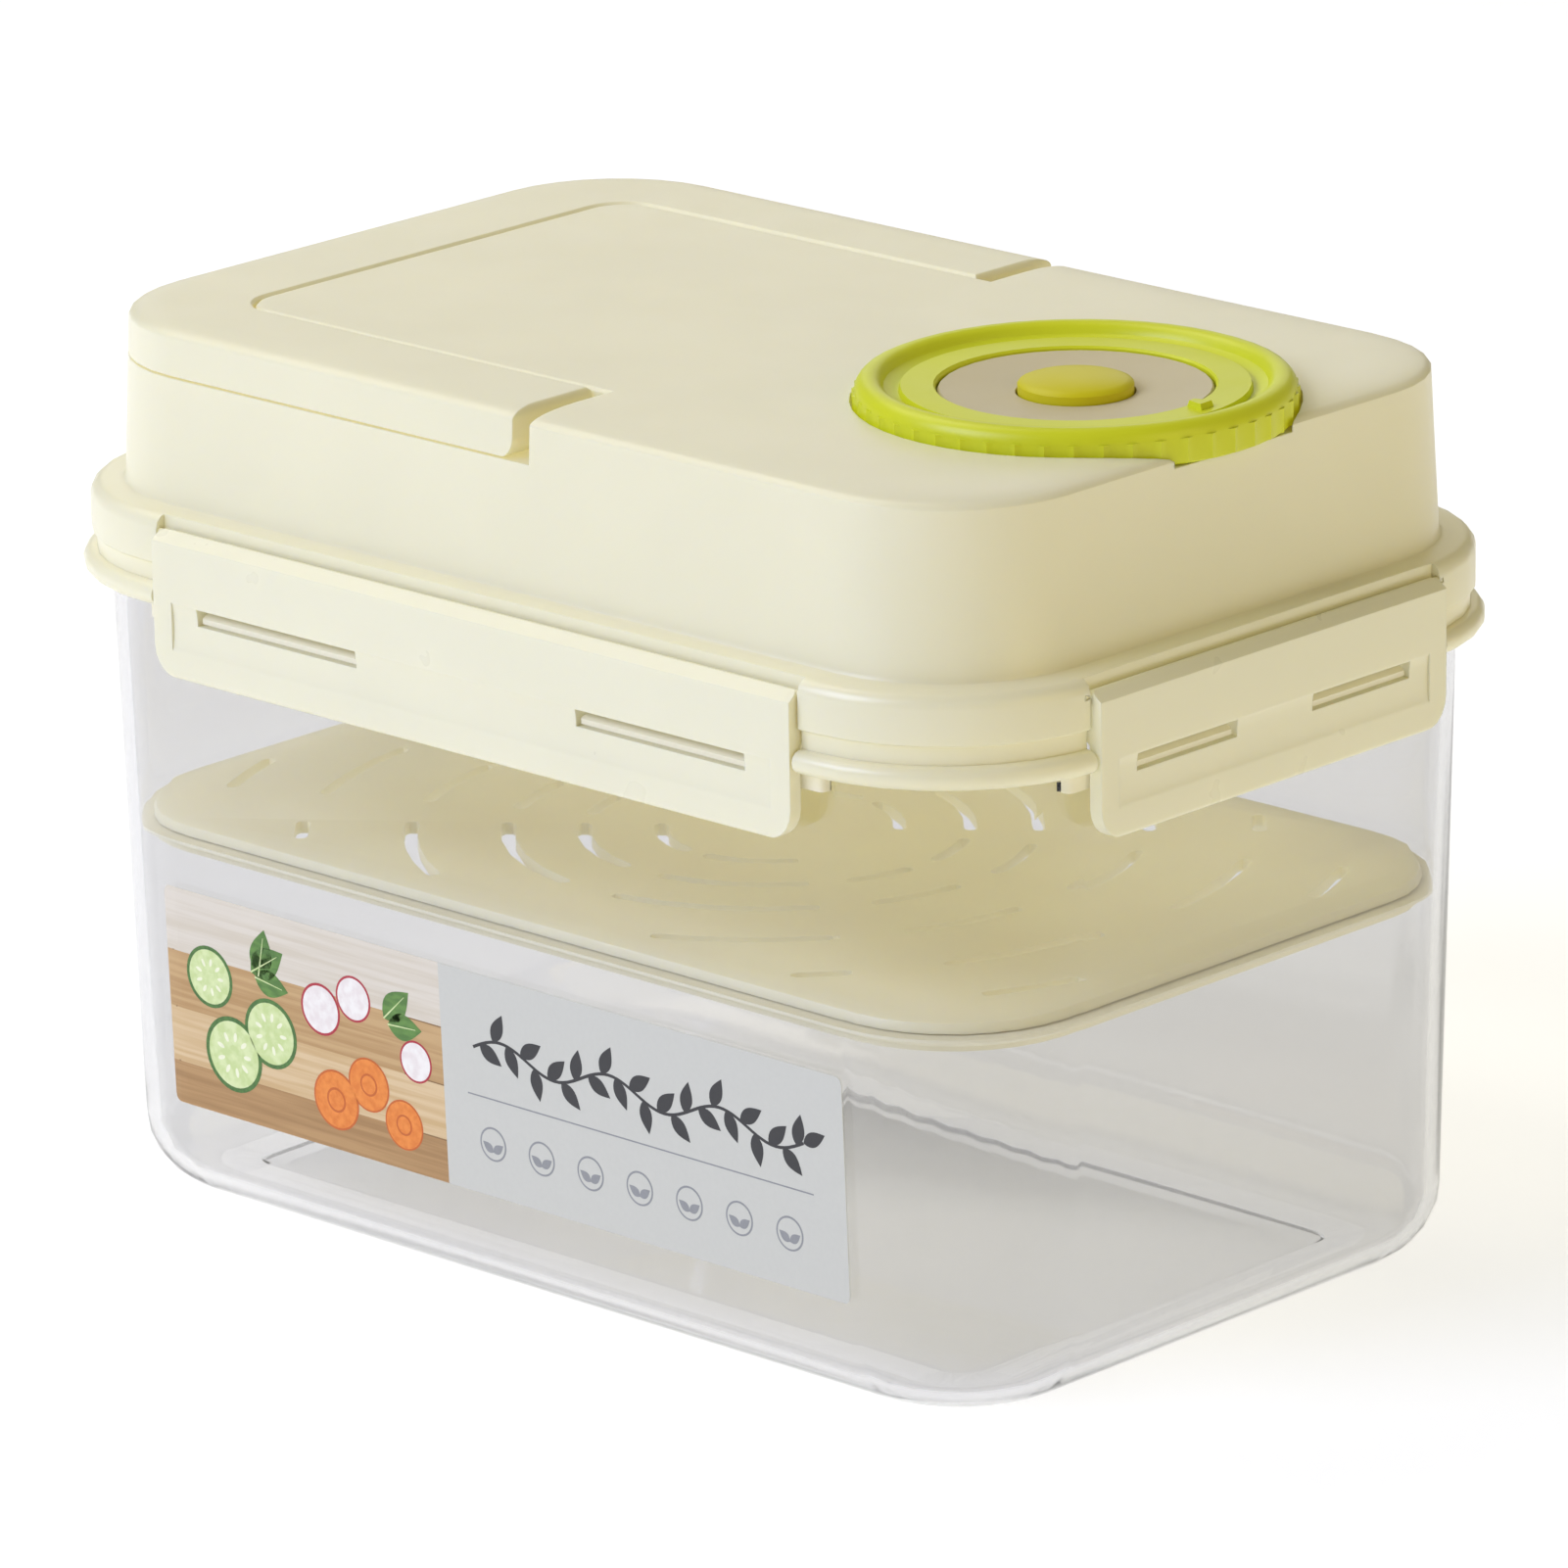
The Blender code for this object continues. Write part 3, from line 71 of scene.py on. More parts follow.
def add(tree, kind, inputs=None, **settings):
    """Adds a node. A value in inputs is set on its socket, and a socket there is linked to it."""
    node = tree.nodes.new(kind)
    for name, value in settings.items():
        setattr(node, name, value)
    for name, value in (inputs or {}).items():
        if isinstance(value, bpy.types.NodeSocket):
            tree.links.new(value, node.inputs[name])
        else:
            node.inputs[name].default_value = value
    return node


print("cream in linear light:", [round(c, 3) for c in linear("e9e4cb")])

# %% [markdown]
# ## Edges that catch the light
#
# An injection mould is cut with small radii, because a sharp inside corner would tear the part
# as it leaves the mould. Those radii are why every rim of the real lid carries a thin bright
# line. The wide ones are in the CAD model. The last quarter of a millimetre could be there too,
# at the price of many thousands of faces. Here the handle gets it from a bevel modifier, because
# its outline is seen against the lid, and the other cream pieces get it from their finish, which
# turns the light at an edge without moving a face. Before that, modifiers weld the triangles
# along their shared corners, join the facets of a flat wall and shade the rest smooth.

# %% Smooth shading by angle, as a geometry node tree
SMOOTH_BELOW = math.radians(32)     # the facets of a curved face meet at less than this


def smooth_by_angle():
    """A node tree that shades faces smooth and keeps the edges over SMOOTH_BELOW sharp."""
    tree = bpy.data.node_groups.new("smooth_by_angle", "GeometryNodeTree")
    tree.interface.new_socket("Geometry", in_out="INPUT", socket_type="NodeSocketGeometry")
    tree.interface.new_socket("Geometry", in_out="OUTPUT", socket_type="NodeSocketGeometry")
    start = add(tree, "NodeGroupInput")
    faces = add(tree, "GeometryNodeSetShadeSmooth",
                {"Geometry": start.outputs[0], "Shade Smooth": True}, domain="FACE")
    angle = add(tree, "GeometryNodeInputMeshEdgeAngle")
    soft = add(tree, "FunctionNodeCompare",
               {"A": angle.outputs["Unsigned Angle"], "B": SMOOTH_BELOW},
               data_type="FLOAT", operation="LESS_EQUAL")
    edges = add(tree, "GeometryNodeSetShadeSmooth",
                {"Geometry": faces.outputs[0], "Shade Smooth": soft.outputs[0]}, domain="EDGE")
    add(tree, "NodeGroupOutput", {0: edges.outputs[0]})
    return tree


SMOOTHING = smooth_by_angle()
print("nodes in the smoothing tree:", len(SMOOTHING.nodes))

# %% Soften a piece
WELD = 0.002 * MM
FLAT_WITHIN = 0.4                   # degrees; facets that meet at less are one flat face
HANDLE_EDGE = 0.25 * MM
EDGE_STEPS = 2
ROUNDED_OVER = 34                   # degrees; only edges sharper than this are rounded


def soften(name, radius=0.0, flats=False):
    """Welds a CAD node, rounds its sharp edges by radius and shades it smooth.

    flats is for a piece of flat walls: its facets are joined, and its large faces stay flat.
    """
    piece = nodes[name]
    piece.modifiers.new("weld", "WELD").merge_threshold = WELD
    if flats:
        flat = piece.modifiers.new("join flat facets", "DECIMATE")
        flat.decimate_type = "DISSOLVE"
        flat.angle_limit = math.radians(FLAT_WITHIN)
    if radius:
        bevel = piece.modifiers.new("edge radius", "BEVEL")
        bevel.width = radius
        bevel.segments = EDGE_STEPS
        bevel.limit_method = "ANGLE"
        bevel.angle_limit = math.radians(ROUNDED_OVER)
    piece.modifiers.new("smooth by angle", "NODES").node_group = SMOOTHING
    if flats:
        piece.modifiers.new("large faces stay flat", "WEIGHTED_NORMAL").keep_sharp = True


LATCHES = ("latch_front", "latch_back", "latch_left", "latch_right")
for name in nodes:
    soften(name, radius=HANDLE_EDGE if name == "handle" else 0.0,
           flats=name == "handle" or name in LATCHES)
print("softened:", len(nodes), "pieces")

# %% [markdown]
# ## Moulded plastic
#
# Nearly everything here is injection-moulded polypropylene. Seen close, such a surface is
# never flat: the steel of the mould was polished or spark-eroded, and the plastic takes that
# texture, then shrinks a little as it cools, which leaves very shallow waves. The pigment isn't
# mixed quite evenly either. A single flat colour misses all of it. An image texture could hold
# it, but noise in object space needs no unwrapping, has its scale in real millimetres, and
# looks the same from every side. So one function builds the finish from four parts: a fine
# grain and a slow wave in the bump, a slow drift of the pigment, and a drift in the roughness.

# %% A moulded plastic or rubber
PIGMENT_LENGTH = 35 * MM            # how far apart the paler and darker patches lie
POLISH_LENGTH = 12 * MM
WAVE_LENGTH, WAVE_DEPTH = 22 * MM, 0.012 * MM
GLOW_COLOUR, GLOW_REACH = "f0e6b8", 2.5 * MM


def moulded(name, colour, roughness, ior, grain, grain_depth, drift=0.03, glow=0.0,
            specular=0.5, edge=0.0, shadow=None):
    """A moulded finish: grain, depths and edge in metres, and drift as a share of the colour.

    glow is the share of light that goes into the plastic and comes out again nearby, edge is
    the radius that its edges are shaded with, and shadow is the colour of what one surface of
    it lets through to the pieces in its shadow.
    """
    material = bpy.data.materials.new(name)
    material.use_nodes = True
    tree = material.node_tree
    tree.nodes.clear()
    place = add(tree, "ShaderNodeTexCoord").outputs["Object"]
    pigment = add(tree, "ShaderNodeTexNoise",
                  {"Vector": place, "Scale": 1 / PIGMENT_LENGTH, "Detail": 2.0})
    base = linear(colour)
    darker = [c * (1 - drift) for c in base[:3]] + [1.0]
    paler = [min(1.0, c * (1 + drift)) for c in base[:3]] + [1.0]
    ramp = add(tree, "ShaderNodeValToRGB", {"Fac": pigment.outputs["Fac"]})
    ramp.color_ramp.elements[0].position = 0.35
    ramp.color_ramp.elements[0].color = darker
    ramp.color_ramp.elements[1].position = 0.65
    ramp.color_ramp.elements[1].color = paler
    polish = add(tree, "ShaderNodeTexNoise",
                 {"Vector": place, "Scale": 1 / POLISH_LENGTH, "Detail": 3.0})
    dull = add(tree, "ShaderNodeMapRange",
               {"Value": polish.outputs["Fac"], "From Min": 0.3, "From Max": 0.7,
                "To Min": roughness * 0.9, "To Max": roughness * 1.12})
    wave = add(tree, "ShaderNodeTexNoise",
               {"Vector": place, "Scale": 1 / WAVE_LENGTH, "Detail": 1.0})
    waved = add(tree, "ShaderNodeBump",
                {"Height": wave.outputs["Fac"], "Distance": WAVE_DEPTH, "Strength": 1.0})
    if edge:
        rounded = add(tree, "ShaderNodeBevel", {"Radius": edge}, samples=6)
        tree.links.new(rounded.outputs["Normal"], waved.inputs["Normal"])
    fine = add(tree, "ShaderNodeTexNoise", {"Vector": place, "Scale": 1 / grain, "Detail": 2.0})
    grained = add(tree, "ShaderNodeBump",
                  {"Height": fine.outputs["Fac"], "Distance": grain_depth, "Strength": 1.0,
                   "Normal": waved.outputs["Normal"]})
    shader = add(tree, "ShaderNodeBsdfPrincipled",
                 {"Base Color": ramp.outputs["Color"], "Roughness": dull.outputs["Result"],
                  "IOR": ior, "Normal": grained.outputs["Normal"],
                  "Specular IOR Level": specular})
    if glow:
        shader.inputs["Subsurface Weight"].default_value = glow
        shader.inputs["Subsurface Radius"].default_value = linear(GLOW_COLOUR)[:3]
        shader.inputs["Subsurface Scale"].default_value = GLOW_REACH
    surface = shader.outputs["BSDF"]
    if shadow:
        passing = add(tree, "ShaderNodeBsdfTransparent", {"Color": linear(shadow)})
        ray = add(tree, "ShaderNodeLightPath")
        surface = add(tree, "ShaderNodeMixShader",
                      {0: ray.outputs["Is Shadow Ray"], 1: surface,
                       2: passing.outputs["BSDF"]}).outputs["Shader"]
    add(tree, "ShaderNodeOutputMaterial", {"Surface": surface})
    return material


# %% Dress a CAD node
def dress(material, *names):
    """Gives CAD nodes a finish in place of their plain one."""
    for name in names:
        slots = nodes[name].data.materials
        slots.clear()
        slots.append(material)


print("a finish is given to one or more of", len(nodes), "CAD nodes")

# %% [markdown]
# ## The cream lid, handle and latches
#
# The lid and handle are one batch of cream polypropylene, moulded with a satin finish. The
# eye reads it as soft: the highlights are broad and low, and a little light travels inside it,
# so shadows turn warm and yellow. Its walls are thin enough to let lamplight into the tank,
# which lights the plate below, so a ray on its way to a lamp is only dimmed by them. The latches
# are the same plastic from smaller, more highly polished moulds, so they look a touch paler and
# shinier. The grain of spark-eroded satin steel is about 0.1 mm across. That is finer than a
# pixel here, so it is drawn at 0.35 mm.

# %% Cream polypropylene
POLYPROPYLENE_IOR = 1.49
MOULD_EDGE = 0.3 * MM

satin_cream = moulded("cream_polypropylene_satin_moulded", "e8e3c3", 0.32, POLYPROPYLENE_IOR,
                      grain=0.35 * MM, grain_depth=0.002 * MM, drift=0.012, glow=0.35,
                      edge=MOULD_EDGE, shadow="ece9d8")
dress(satin_cream, "lid_shell", "handle")

polished_cream = moulded("cream_polypropylene_polished_moulded", "e7e3c6", 0.30,
                         POLYPROPYLENE_IOR, grain=0.5 * MM, grain_depth=0.001 * MM, drift=0.010,
                         glow=0.35, edge=MOULD_EDGE)
dress(polished_cream, *LATCHES)
print("cream finishes:", satin_cream.name, polished_cream.name)

# %% [markdown]
# ## The press plate and its soft ring
#
# The plate is moulded a shade yellower and duller than the lid. Its ring is silicone rubber,
# which has no polish at all: it scatters light and shows no mirror. Both could share the lid's
# finish, but the plate would then melt into the latches in front of it, so each gets its own
# from the same function.

# %% Plate and silicone
SILICONE_IOR = 1.41

plate_cream = moulded("cream_polypropylene_plate_moulded", "f6efca", 0.40, POLYPROPYLENE_IOR,
                      grain=0.4 * MM, grain_depth=0.004 * MM, drift=0.015, glow=0.4)
dress(plate_cream, "press_plate")

cream_silicone = moulded("cream_silicone_rubber_moulded", "f1ebcb", 0.62, SILICONE_IOR,
                         grain=0.5 * MM, grain_depth=0.006 * MM, drift=0.02)
dress(cream_silicone, "plate_ring", "lid_gasket", "vent_seal")
print("plate finishes:", plate_cream.name, cream_silicone.name)

# %% [markdown]
# ## The dial
#
# The turning ring and the button are lime ABS, a harder plastic that takes a better polish
# than polypropylene. The disc between them is grey-beige with a matt spark-eroded face, so
# that the ring stands out against it. The stem under the button is plain natural white. They
# need no shader of their own, because only the colour, the polish and the grain differ.

# %% Dial finishes
ABS_IOR = 1.54

lime_abs = moulded("lime_abs_moulded", "d2d722", 0.36, ABS_IOR,
                   grain=0.4 * MM, grain_depth=0.003 * MM, drift=0.03, specular=0.35)
dress(lime_abs, "dial_ring")
button_abs = moulded("yellow_lime_abs_moulded", "cec310", 0.42, ABS_IOR,
                     grain=0.4 * MM, grain_depth=0.004 * MM, drift=0.05, specular=0.3)
dress(button_abs, "vent_button")
matt_grey = moulded("grey_beige_abs_spark_eroded", "cabd98", 0.5, ABS_IOR,
                    grain=0.6 * MM, grain_depth=0.006 * MM, drift=0.02, glow=0.3)
dress(matt_grey, "dial_disc")
natural_white = moulded("white_polypropylene_moulded", "ebe9e3", 0.4, POLYPROPYLENE_IOR,
                        grain=0.4 * MM, grain_depth=0.003 * MM)
dress(natural_white, "vent_stem")
print("dial finishes:", lime_abs.name, button_abs.name, matt_grey.name)

# %% [markdown]
# ## Spring and pins
#
# The vent's spring and the two hinge pins of the handle are drawn stainless steel. Drawing
# pulls a wire through a die, which leaves faint lines along it. They are all but hidden, and a
# bright metal with a slight grain is enough. The spring gets shorter when the button goes down;
# here it only gets a mesh of its own, and its coil stays as modelled.

# %% Drawn steel
DRAWING_LINES = 0.15 * MM           # how far apart they are


def drawn_steel():
    """Bright stainless steel wire with faint drawing lines."""
    material = bpy.data.materials.new("stainless_steel_drawn")
    material.use_nodes = True
    tree = material.node_tree
    tree.nodes.clear()
    place = add(tree, "ShaderNodeTexCoord").outputs["Object"]
    lines = add(tree, "ShaderNodeTexNoise",
                {"Vector": place, "Scale": 1 / DRAWING_LINES, "Detail": 2.0})
    groove = add(tree, "ShaderNodeBump",
                 {"Height": lines.outputs["Fac"], "Distance": 0.002 * MM, "Strength": 1.0})
    shader = add(tree, "ShaderNodeBsdfPrincipled",
                 {"Base Color": linear("c9c9cb"), "Metallic": 1.0, "Roughness": 0.24,
                  "Normal": groove.outputs["Normal"]})
    add(tree, "ShaderNodeOutputMaterial", {"Surface": shader.outputs["BSDF"]})
    return material


dress(drawn_steel(), "vent_spring", "handle_pin_front", "handle_pin_back")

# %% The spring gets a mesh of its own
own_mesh(nodes["vent_spring"])

# %% [markdown]
# ## The clear tank
#
# The tank is clear polyester (PET), moulded against polished steel, so it mirrors the room in
# sharp streaks at its rounded corners and bends what is seen through its edge. It could be
# faked with a thin see-through skin, but then its foot, its ribs and its brim would lose the
# bright and dark lines that tell the eye how thick the wall is. So it is real transmission
# through the modelled wall. Lamps can't shine through such a surface in a path tracer without
# a great many samples, so for shadow rays, and for the rays that gather light scattered by
# matt surfaces, it is swapped for a plain see-through shader.

# %% Clear PET
PET_IOR = 1.57
RIBS_OUT_X = 118.7 * MM             # only the ribs and teeth reach further out than this
RIBS_OUT_Y = 78.1 * MM
RIBS_LOW = 100.0 * MM


def ribs_mask(tree, place):
    """1 on the catch ribs and latch teeth under the brim, where the cream reflection is painted, 0
    on the rest of the tank.
    """
    axes = add(tree, "ShaderNodeSeparateXYZ", {"Vector": place})
    wide = add(tree, "ShaderNodeMath", {0: axes.outputs["X"]}, operation="ABSOLUTE")
    deep = add(tree, "ShaderNodeMath", {0: axes.outputs["Y"]}, operation="ABSOLUTE")
    past_x = add(tree, "ShaderNodeMath", {0: wide.outputs[0], 1: RIBS_OUT_X},
                 operation="GREATER_THAN")
    past_y = add(tree, "ShaderNodeMath", {0: deep.outputs[0], 1: RIBS_OUT_Y},
                 operation="GREATER_THAN")
    either = add(tree, "ShaderNodeMath", {0: past_x.outputs[0], 1: past_y.outputs[0]},
                 operation="MAXIMUM")
    high = add(tree, "ShaderNodeMath", {0: axes.outputs["Z"], 1: RIBS_LOW},
               operation="GREATER_THAN")
    return add(tree, "ShaderNodeMath", {0: either.outputs[0], 1: high.outputs[0]},
               operation="MULTIPLY").outputs[0]


def clear_pet():
    """Polished clear polyester with a very slight grey tint and shallow flow waves; its ribs and
    teeth get a painted cream reflection.
    """
    material = bpy.data.materials.new("clear_pet_polished_moulded")
    material.use_nodes = True
    tree = material.node_tree
    tree.nodes.clear()
    place = add(tree, "ShaderNodeTexCoord").outputs["Object"]
    flow = add(tree, "ShaderNodeTexNoise", {"Vector": place, "Scale": 1 / 0.030, "Detail": 1.0})
    wavy = add(tree, "ShaderNodeBump",
               {"Height": flow.outputs["Fac"], "Distance": 0.02 * MM, "Strength": 1.0})
    plastic = add(tree, "ShaderNodeBsdfPrincipled",
                  {"Base Color": linear("e4e4e5"), "Roughness": 0.025, "IOR": PET_IOR,
                   "Transmission Weight": 1.0, "Normal": wavy.outputs["Normal"]})
    # The ribs and teeth are clear PET like the rest of the tank. Their cream colour, half-matt and
    # barely see-through, is a painted reflection of the cream lid and latches around them, which
    # clear ribs pick up.
    frosted = add(tree, "ShaderNodeBsdfPrincipled",
                  {"Base Color": linear("efe9cd"), "Roughness": 0.42, "IOR": PET_IOR,
                   "Transmission Weight": 0.15})
    body = add(tree, "ShaderNodeMixShader",
               {0: ribs_mask(tree, place), 1: plastic.outputs["BSDF"], 2: frosted.outputs["BSDF"]})
    passing = add(tree, "ShaderNodeBsdfTransparent", {"Color": linear("fbfbfc")})
    ray = add(tree, "ShaderNodeLightPath")
    straight = add(tree, "ShaderNodeMath", {0: ray.outputs["Is Shadow Ray"],
                                            1: ray.outputs["Is Diffuse Ray"]},
                   operation="MAXIMUM")
    both = add(tree, "ShaderNodeMixShader",
               {0: straight.outputs[0], 1: body.outputs["Shader"],
                2: passing.outputs["BSDF"]})
    add(tree, "ShaderNodeOutputMaterial", {"Surface": both.outputs["Shader"]})
    return material


dress(clear_pet(), "tank")
print("tank is clear; ribs are frosted beyond", RIBS_OUT_X / MM, "and", RIBS_OUT_Y / MM, "mm")

# %% [markdown]
# ## The front sticker
#
# A sheet of coated paper is stuck on the front wall, a printed picture on its left and a plain
# grey field on its right. It could be a picture file wrapped on the wall, but a file has to
# travel with the model and turns soft close up. So the sheet is modelled: a grid of points is
# dropped onto the wall by casting rays, so that its left end follows the start of the tank's
# corner, and each printed motif is a flat shape a hair's breadth above it. The motifs are plain
# ones from a kitchen: slices of vegetables on a wooden board, and a trail of leaves.

# %% The wall under the sticker
STICKER_LEFT, STICKER_RIGHT = -89.5 * MM, 86.5 * MM
STICKER_LOW, STICKER_HIGH = 21.5 * MM, 65.3 * MM
PICTURE_RIGHT = -15.8 * MM
STICKER_CORNER = 1.5 * MM
STICKER_THICKNESS = 0.10 * MM
STICKER_PROUD = 0.16 * MM           # the printed face, measured from the wall
INK_STEP = 0.015 * MM               # each print layer stands this much above the last

tank_mesh = nodes["tank"].data
tank_skin = BVHTree.FromPolygons([corner.co.copy() for corner in tank_mesh.vertices],
                                 [tuple(face.vertices) for face in tank_mesh.polygons])


def on_wall(x, z, proud):
    """The point of the tank's front wall at x and z, moved out by proud."""
    hit, normal, _, _ = tank_skin.ray_cast(Vector((x, -1.0, z)), Vector((0.0, 1.0, 0.0)))
    return hit + normal * proud


print("wall behind the middle of the sticker, y in mm:", round(on_wall(0.0, 0.045, 0.0).y / MM, 2))

# %% Inks
def ink(name, colour, second=None, grain=(1.0, 1.0, 1.0), amount=0.05):
    """A printed and varnished colour. The second colour comes through in a noise of grain mm."""
    material = bpy.data.materials.new(name)
    material.use_nodes = True
    tree = material.node_tree
    tree.nodes.clear()
    place = add(tree, "ShaderNodeTexCoord").outputs["Object"]
    sized = add(tree, "ShaderNodeMapping",
                {"Vector": place, "Scale": [1 / (length * MM) for length in grain]})
    fleck = add(tree, "ShaderNodeTexNoise", {"Vector": sized.outputs[0], "Scale": 1.0,
                                             "Detail": 3.0})
    base = linear(colour)
    other = linear(second) if second else [c * (1 - amount) for c in base[:3]] + [1.0]
    ramp = add(tree, "ShaderNodeValToRGB", {"Fac": fleck.outputs["Fac"]})
    ramp.color_ramp.elements[0].position = 0.38
    ramp.color_ramp.elements[0].color = other
    ramp.color_ramp.elements[1].position = 0.62
    ramp.color_ramp.elements[1].color = base
    fibre = add(tree, "ShaderNodeTexNoise", {"Vector": place, "Scale": 1 / (0.6 * MM),
                                             "Detail": 2.0})
    paper = add(tree, "ShaderNodeBump",
                {"Height": fibre.outputs["Fac"], "Distance": 0.003 * MM, "Strength": 1.0})
    shader = add(tree, "ShaderNodeBsdfPrincipled",
                 {"Base Color": ramp.outputs["Color"], "Roughness": 0.45, "IOR": 1.5,
                  "Normal": paper.outputs["Normal"]})
    add(tree, "ShaderNodeOutputMaterial", {"Surface": shader.outputs["BSDF"]})
    return material


WOOD = (38.0, 30.0, 1.1)            # a board's grain runs along X
INKS = {
    "grey_field": ink("coated_paper_grey", "c8c7bd", amount=0.015),
    "pale_board": ink("coated_paper_pale_wood_print", "d9d0c0", "cfc4b0", WOOD),
    "light_board": ink("coated_paper_light_wood_print", "d8bd92", "c9a877", WOOD),
    "mid_board": ink("coated_paper_mid_wood_print", "c4a170", "b28c5a", WOOD),
    "dark_board": ink("coated_paper_dark_wood_print", "b48d5c", "a17a4b", WOOD),
    "seam": ink("coated_paper_board_seam_print", "8c6a41"),
    "cucumber_skin": ink("coated_paper_cucumber_green_print", "4e7a35", "3e682c"),
    "cucumber_flesh": ink("coated_paper_pale_green_print", "d6e2a8", "c4d590", (2.0, 2.0, 2.0)),
    "seed": ink("coated_paper_seed_print", "eef0cf"),
    "carrot_rind": ink("coated_paper_dark_orange_print", "c8601c"),
    "carrot_flesh": ink("coated_paper_orange_print", "e98a35", "dd7826", (1.5, 1.5, 1.5)),
    "radish_skin": ink("coated_paper_red_print", "b0293a"),
    "radish_flesh": ink("coated_paper_white_print", "f0ebe4", "e6dcd6", (2.0, 2.0, 2.0)),
    "leaf": ink("coated_paper_leaf_green_print", "5f8a3c", "4b7530", (3.0, 3.0, 1.2)),
    "black": ink("coated_paper_black_print", "2e2e30"),
    "shade": ink("coated_paper_mid_grey_print", "8f9091"),
}
INK_NUMBER = {name: number for number, name in enumerate(INKS)}
print("inks on the sticker:", len(INKS))

# %% The sheet
BOARD_TOPS = ((8.5, "dark_board"), (19.5, "light_board"), (31.0, "mid_board"),
              (43.8, "pale_board"))  # heights above the sticker's lower edge, in mm
COLUMN = 2.0 * MM

sticker_mesh = bmesh.new()


def steps_between(start, end, step):
    """Evenly spaced values from start to end, about a step apart."""
    count = max(1, math.ceil((end - start) / step))
    return [start + (end - start) * i / count for i in range(count + 1)]


def edge_drop(x):
    """How far the rounded corner takes the sheet's upper and lower edge in at x."""
    inside = min(x - STICKER_LEFT, STICKER_RIGHT - x, STICKER_CORNER)
    return STICKER_CORNER - math.sqrt(STICKER_CORNER ** 2 - (STICKER_CORNER - inside) ** 2)


columns = (steps_between(STICKER_LEFT, STICKER_LEFT + STICKER_CORNER, 0.25 * MM)
           + steps_between(STICKER_LEFT + STICKER_CORNER, PICTURE_RIGHT, COLUMN)[1:]
           + steps_between(PICTURE_RIGHT, STICKER_RIGHT - STICKER_CORNER, COLUMN)[1:]
           + steps_between(STICKER_RIGHT - STICKER_CORNER, STICKER_RIGHT, 0.25 * MM)[1:])
levels = [0.0] + [top * MM for top, _ in BOARD_TOPS]
height = STICKER_HIGH - STICKER_LOW
grid = []
for x in columns:
    drop = edge_drop(x)
    rows = [STICKER_LOW + min(max(level, drop), height - drop) for level in levels]
    grid.append([sticker_mesh.verts.new(on_wall(x, z, STICKER_PROUD)) for z in rows])
for i in range(len(columns) - 1):
    for j, (_, board) in enumerate(BOARD_TOPS):
        face = sticker_mesh.faces.new((grid[i][j], grid[i + 1][j], grid[i + 1][j + 1],
                                       grid[i][j + 1]))
        in_picture = columns[i + 1] <= PICTURE_RIGHT + WELD
        face.material_index = INK_NUMBER[board if in_picture else "grey_field"]
print("faces in the sheet:", len(sticker_mesh.faces))

# %% Printed shapes
def stamp(outline, colour, layer):
    """Prints a flat shape. Its outline runs counterclockwise, in mm from the lower left corner."""
    proud = STICKER_PROUD + layer * INK_STEP
    corners = [sticker_mesh.verts.new(on_wall(STICKER_LEFT + x * MM, STICKER_LOW + z * MM, proud))
               for x, z in outline]
    sticker_mesh.faces.new(corners).material_index = INK_NUMBER[colour]


def disc(x, z, radius, colour, layer, squash=1.0, turn=0.0, count=36):
    """A round or oval shape: squash is its height over its width."""
    outline = []
    for i in range(count):
        angle = math.tau * i / count
        along, across = radius * math.cos(angle), radius * squash * math.sin(angle)
        outline.append((x + along * math.cos(turn) - across * math.sin(turn),
                        z + along * math.sin(turn) + across * math.cos(turn)))
    stamp(outline, colour, layer)


def leaf(x, z, length, turn, colour, layer, plump=0.30, count=10):
    """A pointed leaf that starts at x, z and points along turn."""
    side = [(length * i / count, length * plump * math.sin(math.pi * (i / count) ** 0.8))
            for i in range(count + 1)]
    outline = [(along, -across) for along, across in side] + side[-2:0:-1]
    stamp([(x + a * math.cos(turn) - c * math.sin(turn), z + a * math.sin(turn) + c * math.cos(turn))
           for a, c in outline], colour, layer)


def ribbon(path, widths, colour, layer):
    """A band along a path of points, as wide at each point as widths says."""
    left, right_side = [], []
    for i, (x, z) in enumerate(path):
        before, after = path[max(0, i - 1)], path[min(len(path) - 1, i + 1)]
        run = Vector((after[0] - before[0], after[1] - before[1])).normalized()
        left.append((x - run.y * widths[i] / 2, z + run.x * widths[i] / 2))
        right_side.append((x + run.y * widths[i] / 2, z - run.x * widths[i] / 2))
    for i in range(len(path) - 1):
        stamp([right_side[i], right_side[i + 1], left[i + 1], left[i]], colour, layer)


print("motifs are printed in layers of", INK_STEP / MM, "mm")

# %% The board and its slices
for top, _ in BOARD_TOPS[:-1]:
    ribbon([(1.6, top), (73.7, top)], (0.28, 0.28), "seam", 1)

for x, z, radius in ((17.0, 13.0, 7.6), (27.5, 19.5, 7.0), (11.5, 27.5, 6.2)):
    disc(x, z, radius, "cucumber_skin", 2)
    disc(x, z, radius * 0.88, "cucumber_flesh", 3)
    for i in range(9):
        angle = math.tau * i / 9
        disc(x + radius * 0.48 * math.cos(angle), z + radius * 0.48 * math.sin(angle),
             radius * 0.13, "seed", 4, squash=0.45, turn=angle, count=14)
for x, z, radius in ((44.5, 10.0, 6.0), (53.5, 15.0, 5.4), (62.5, 9.0, 5.0)):
    disc(x, z, radius, "carrot_rind", 2)
    disc(x, z, radius * 0.93, "carrot_flesh", 3)
    disc(x, z, radius * 0.42, "carrot_rind", 4, count=24)
    disc(x, z, radius * 0.34, "carrot_flesh", 5, count=24)
for x, z, radius in ((41.5, 27.5, 5.2), (50.5, 31.5, 4.6), (66.5, 22.5, 4.2)):
    disc(x, z, radius, "radish_skin", 2)
    disc(x, z, radius * 0.90, "radish_flesh", 3)
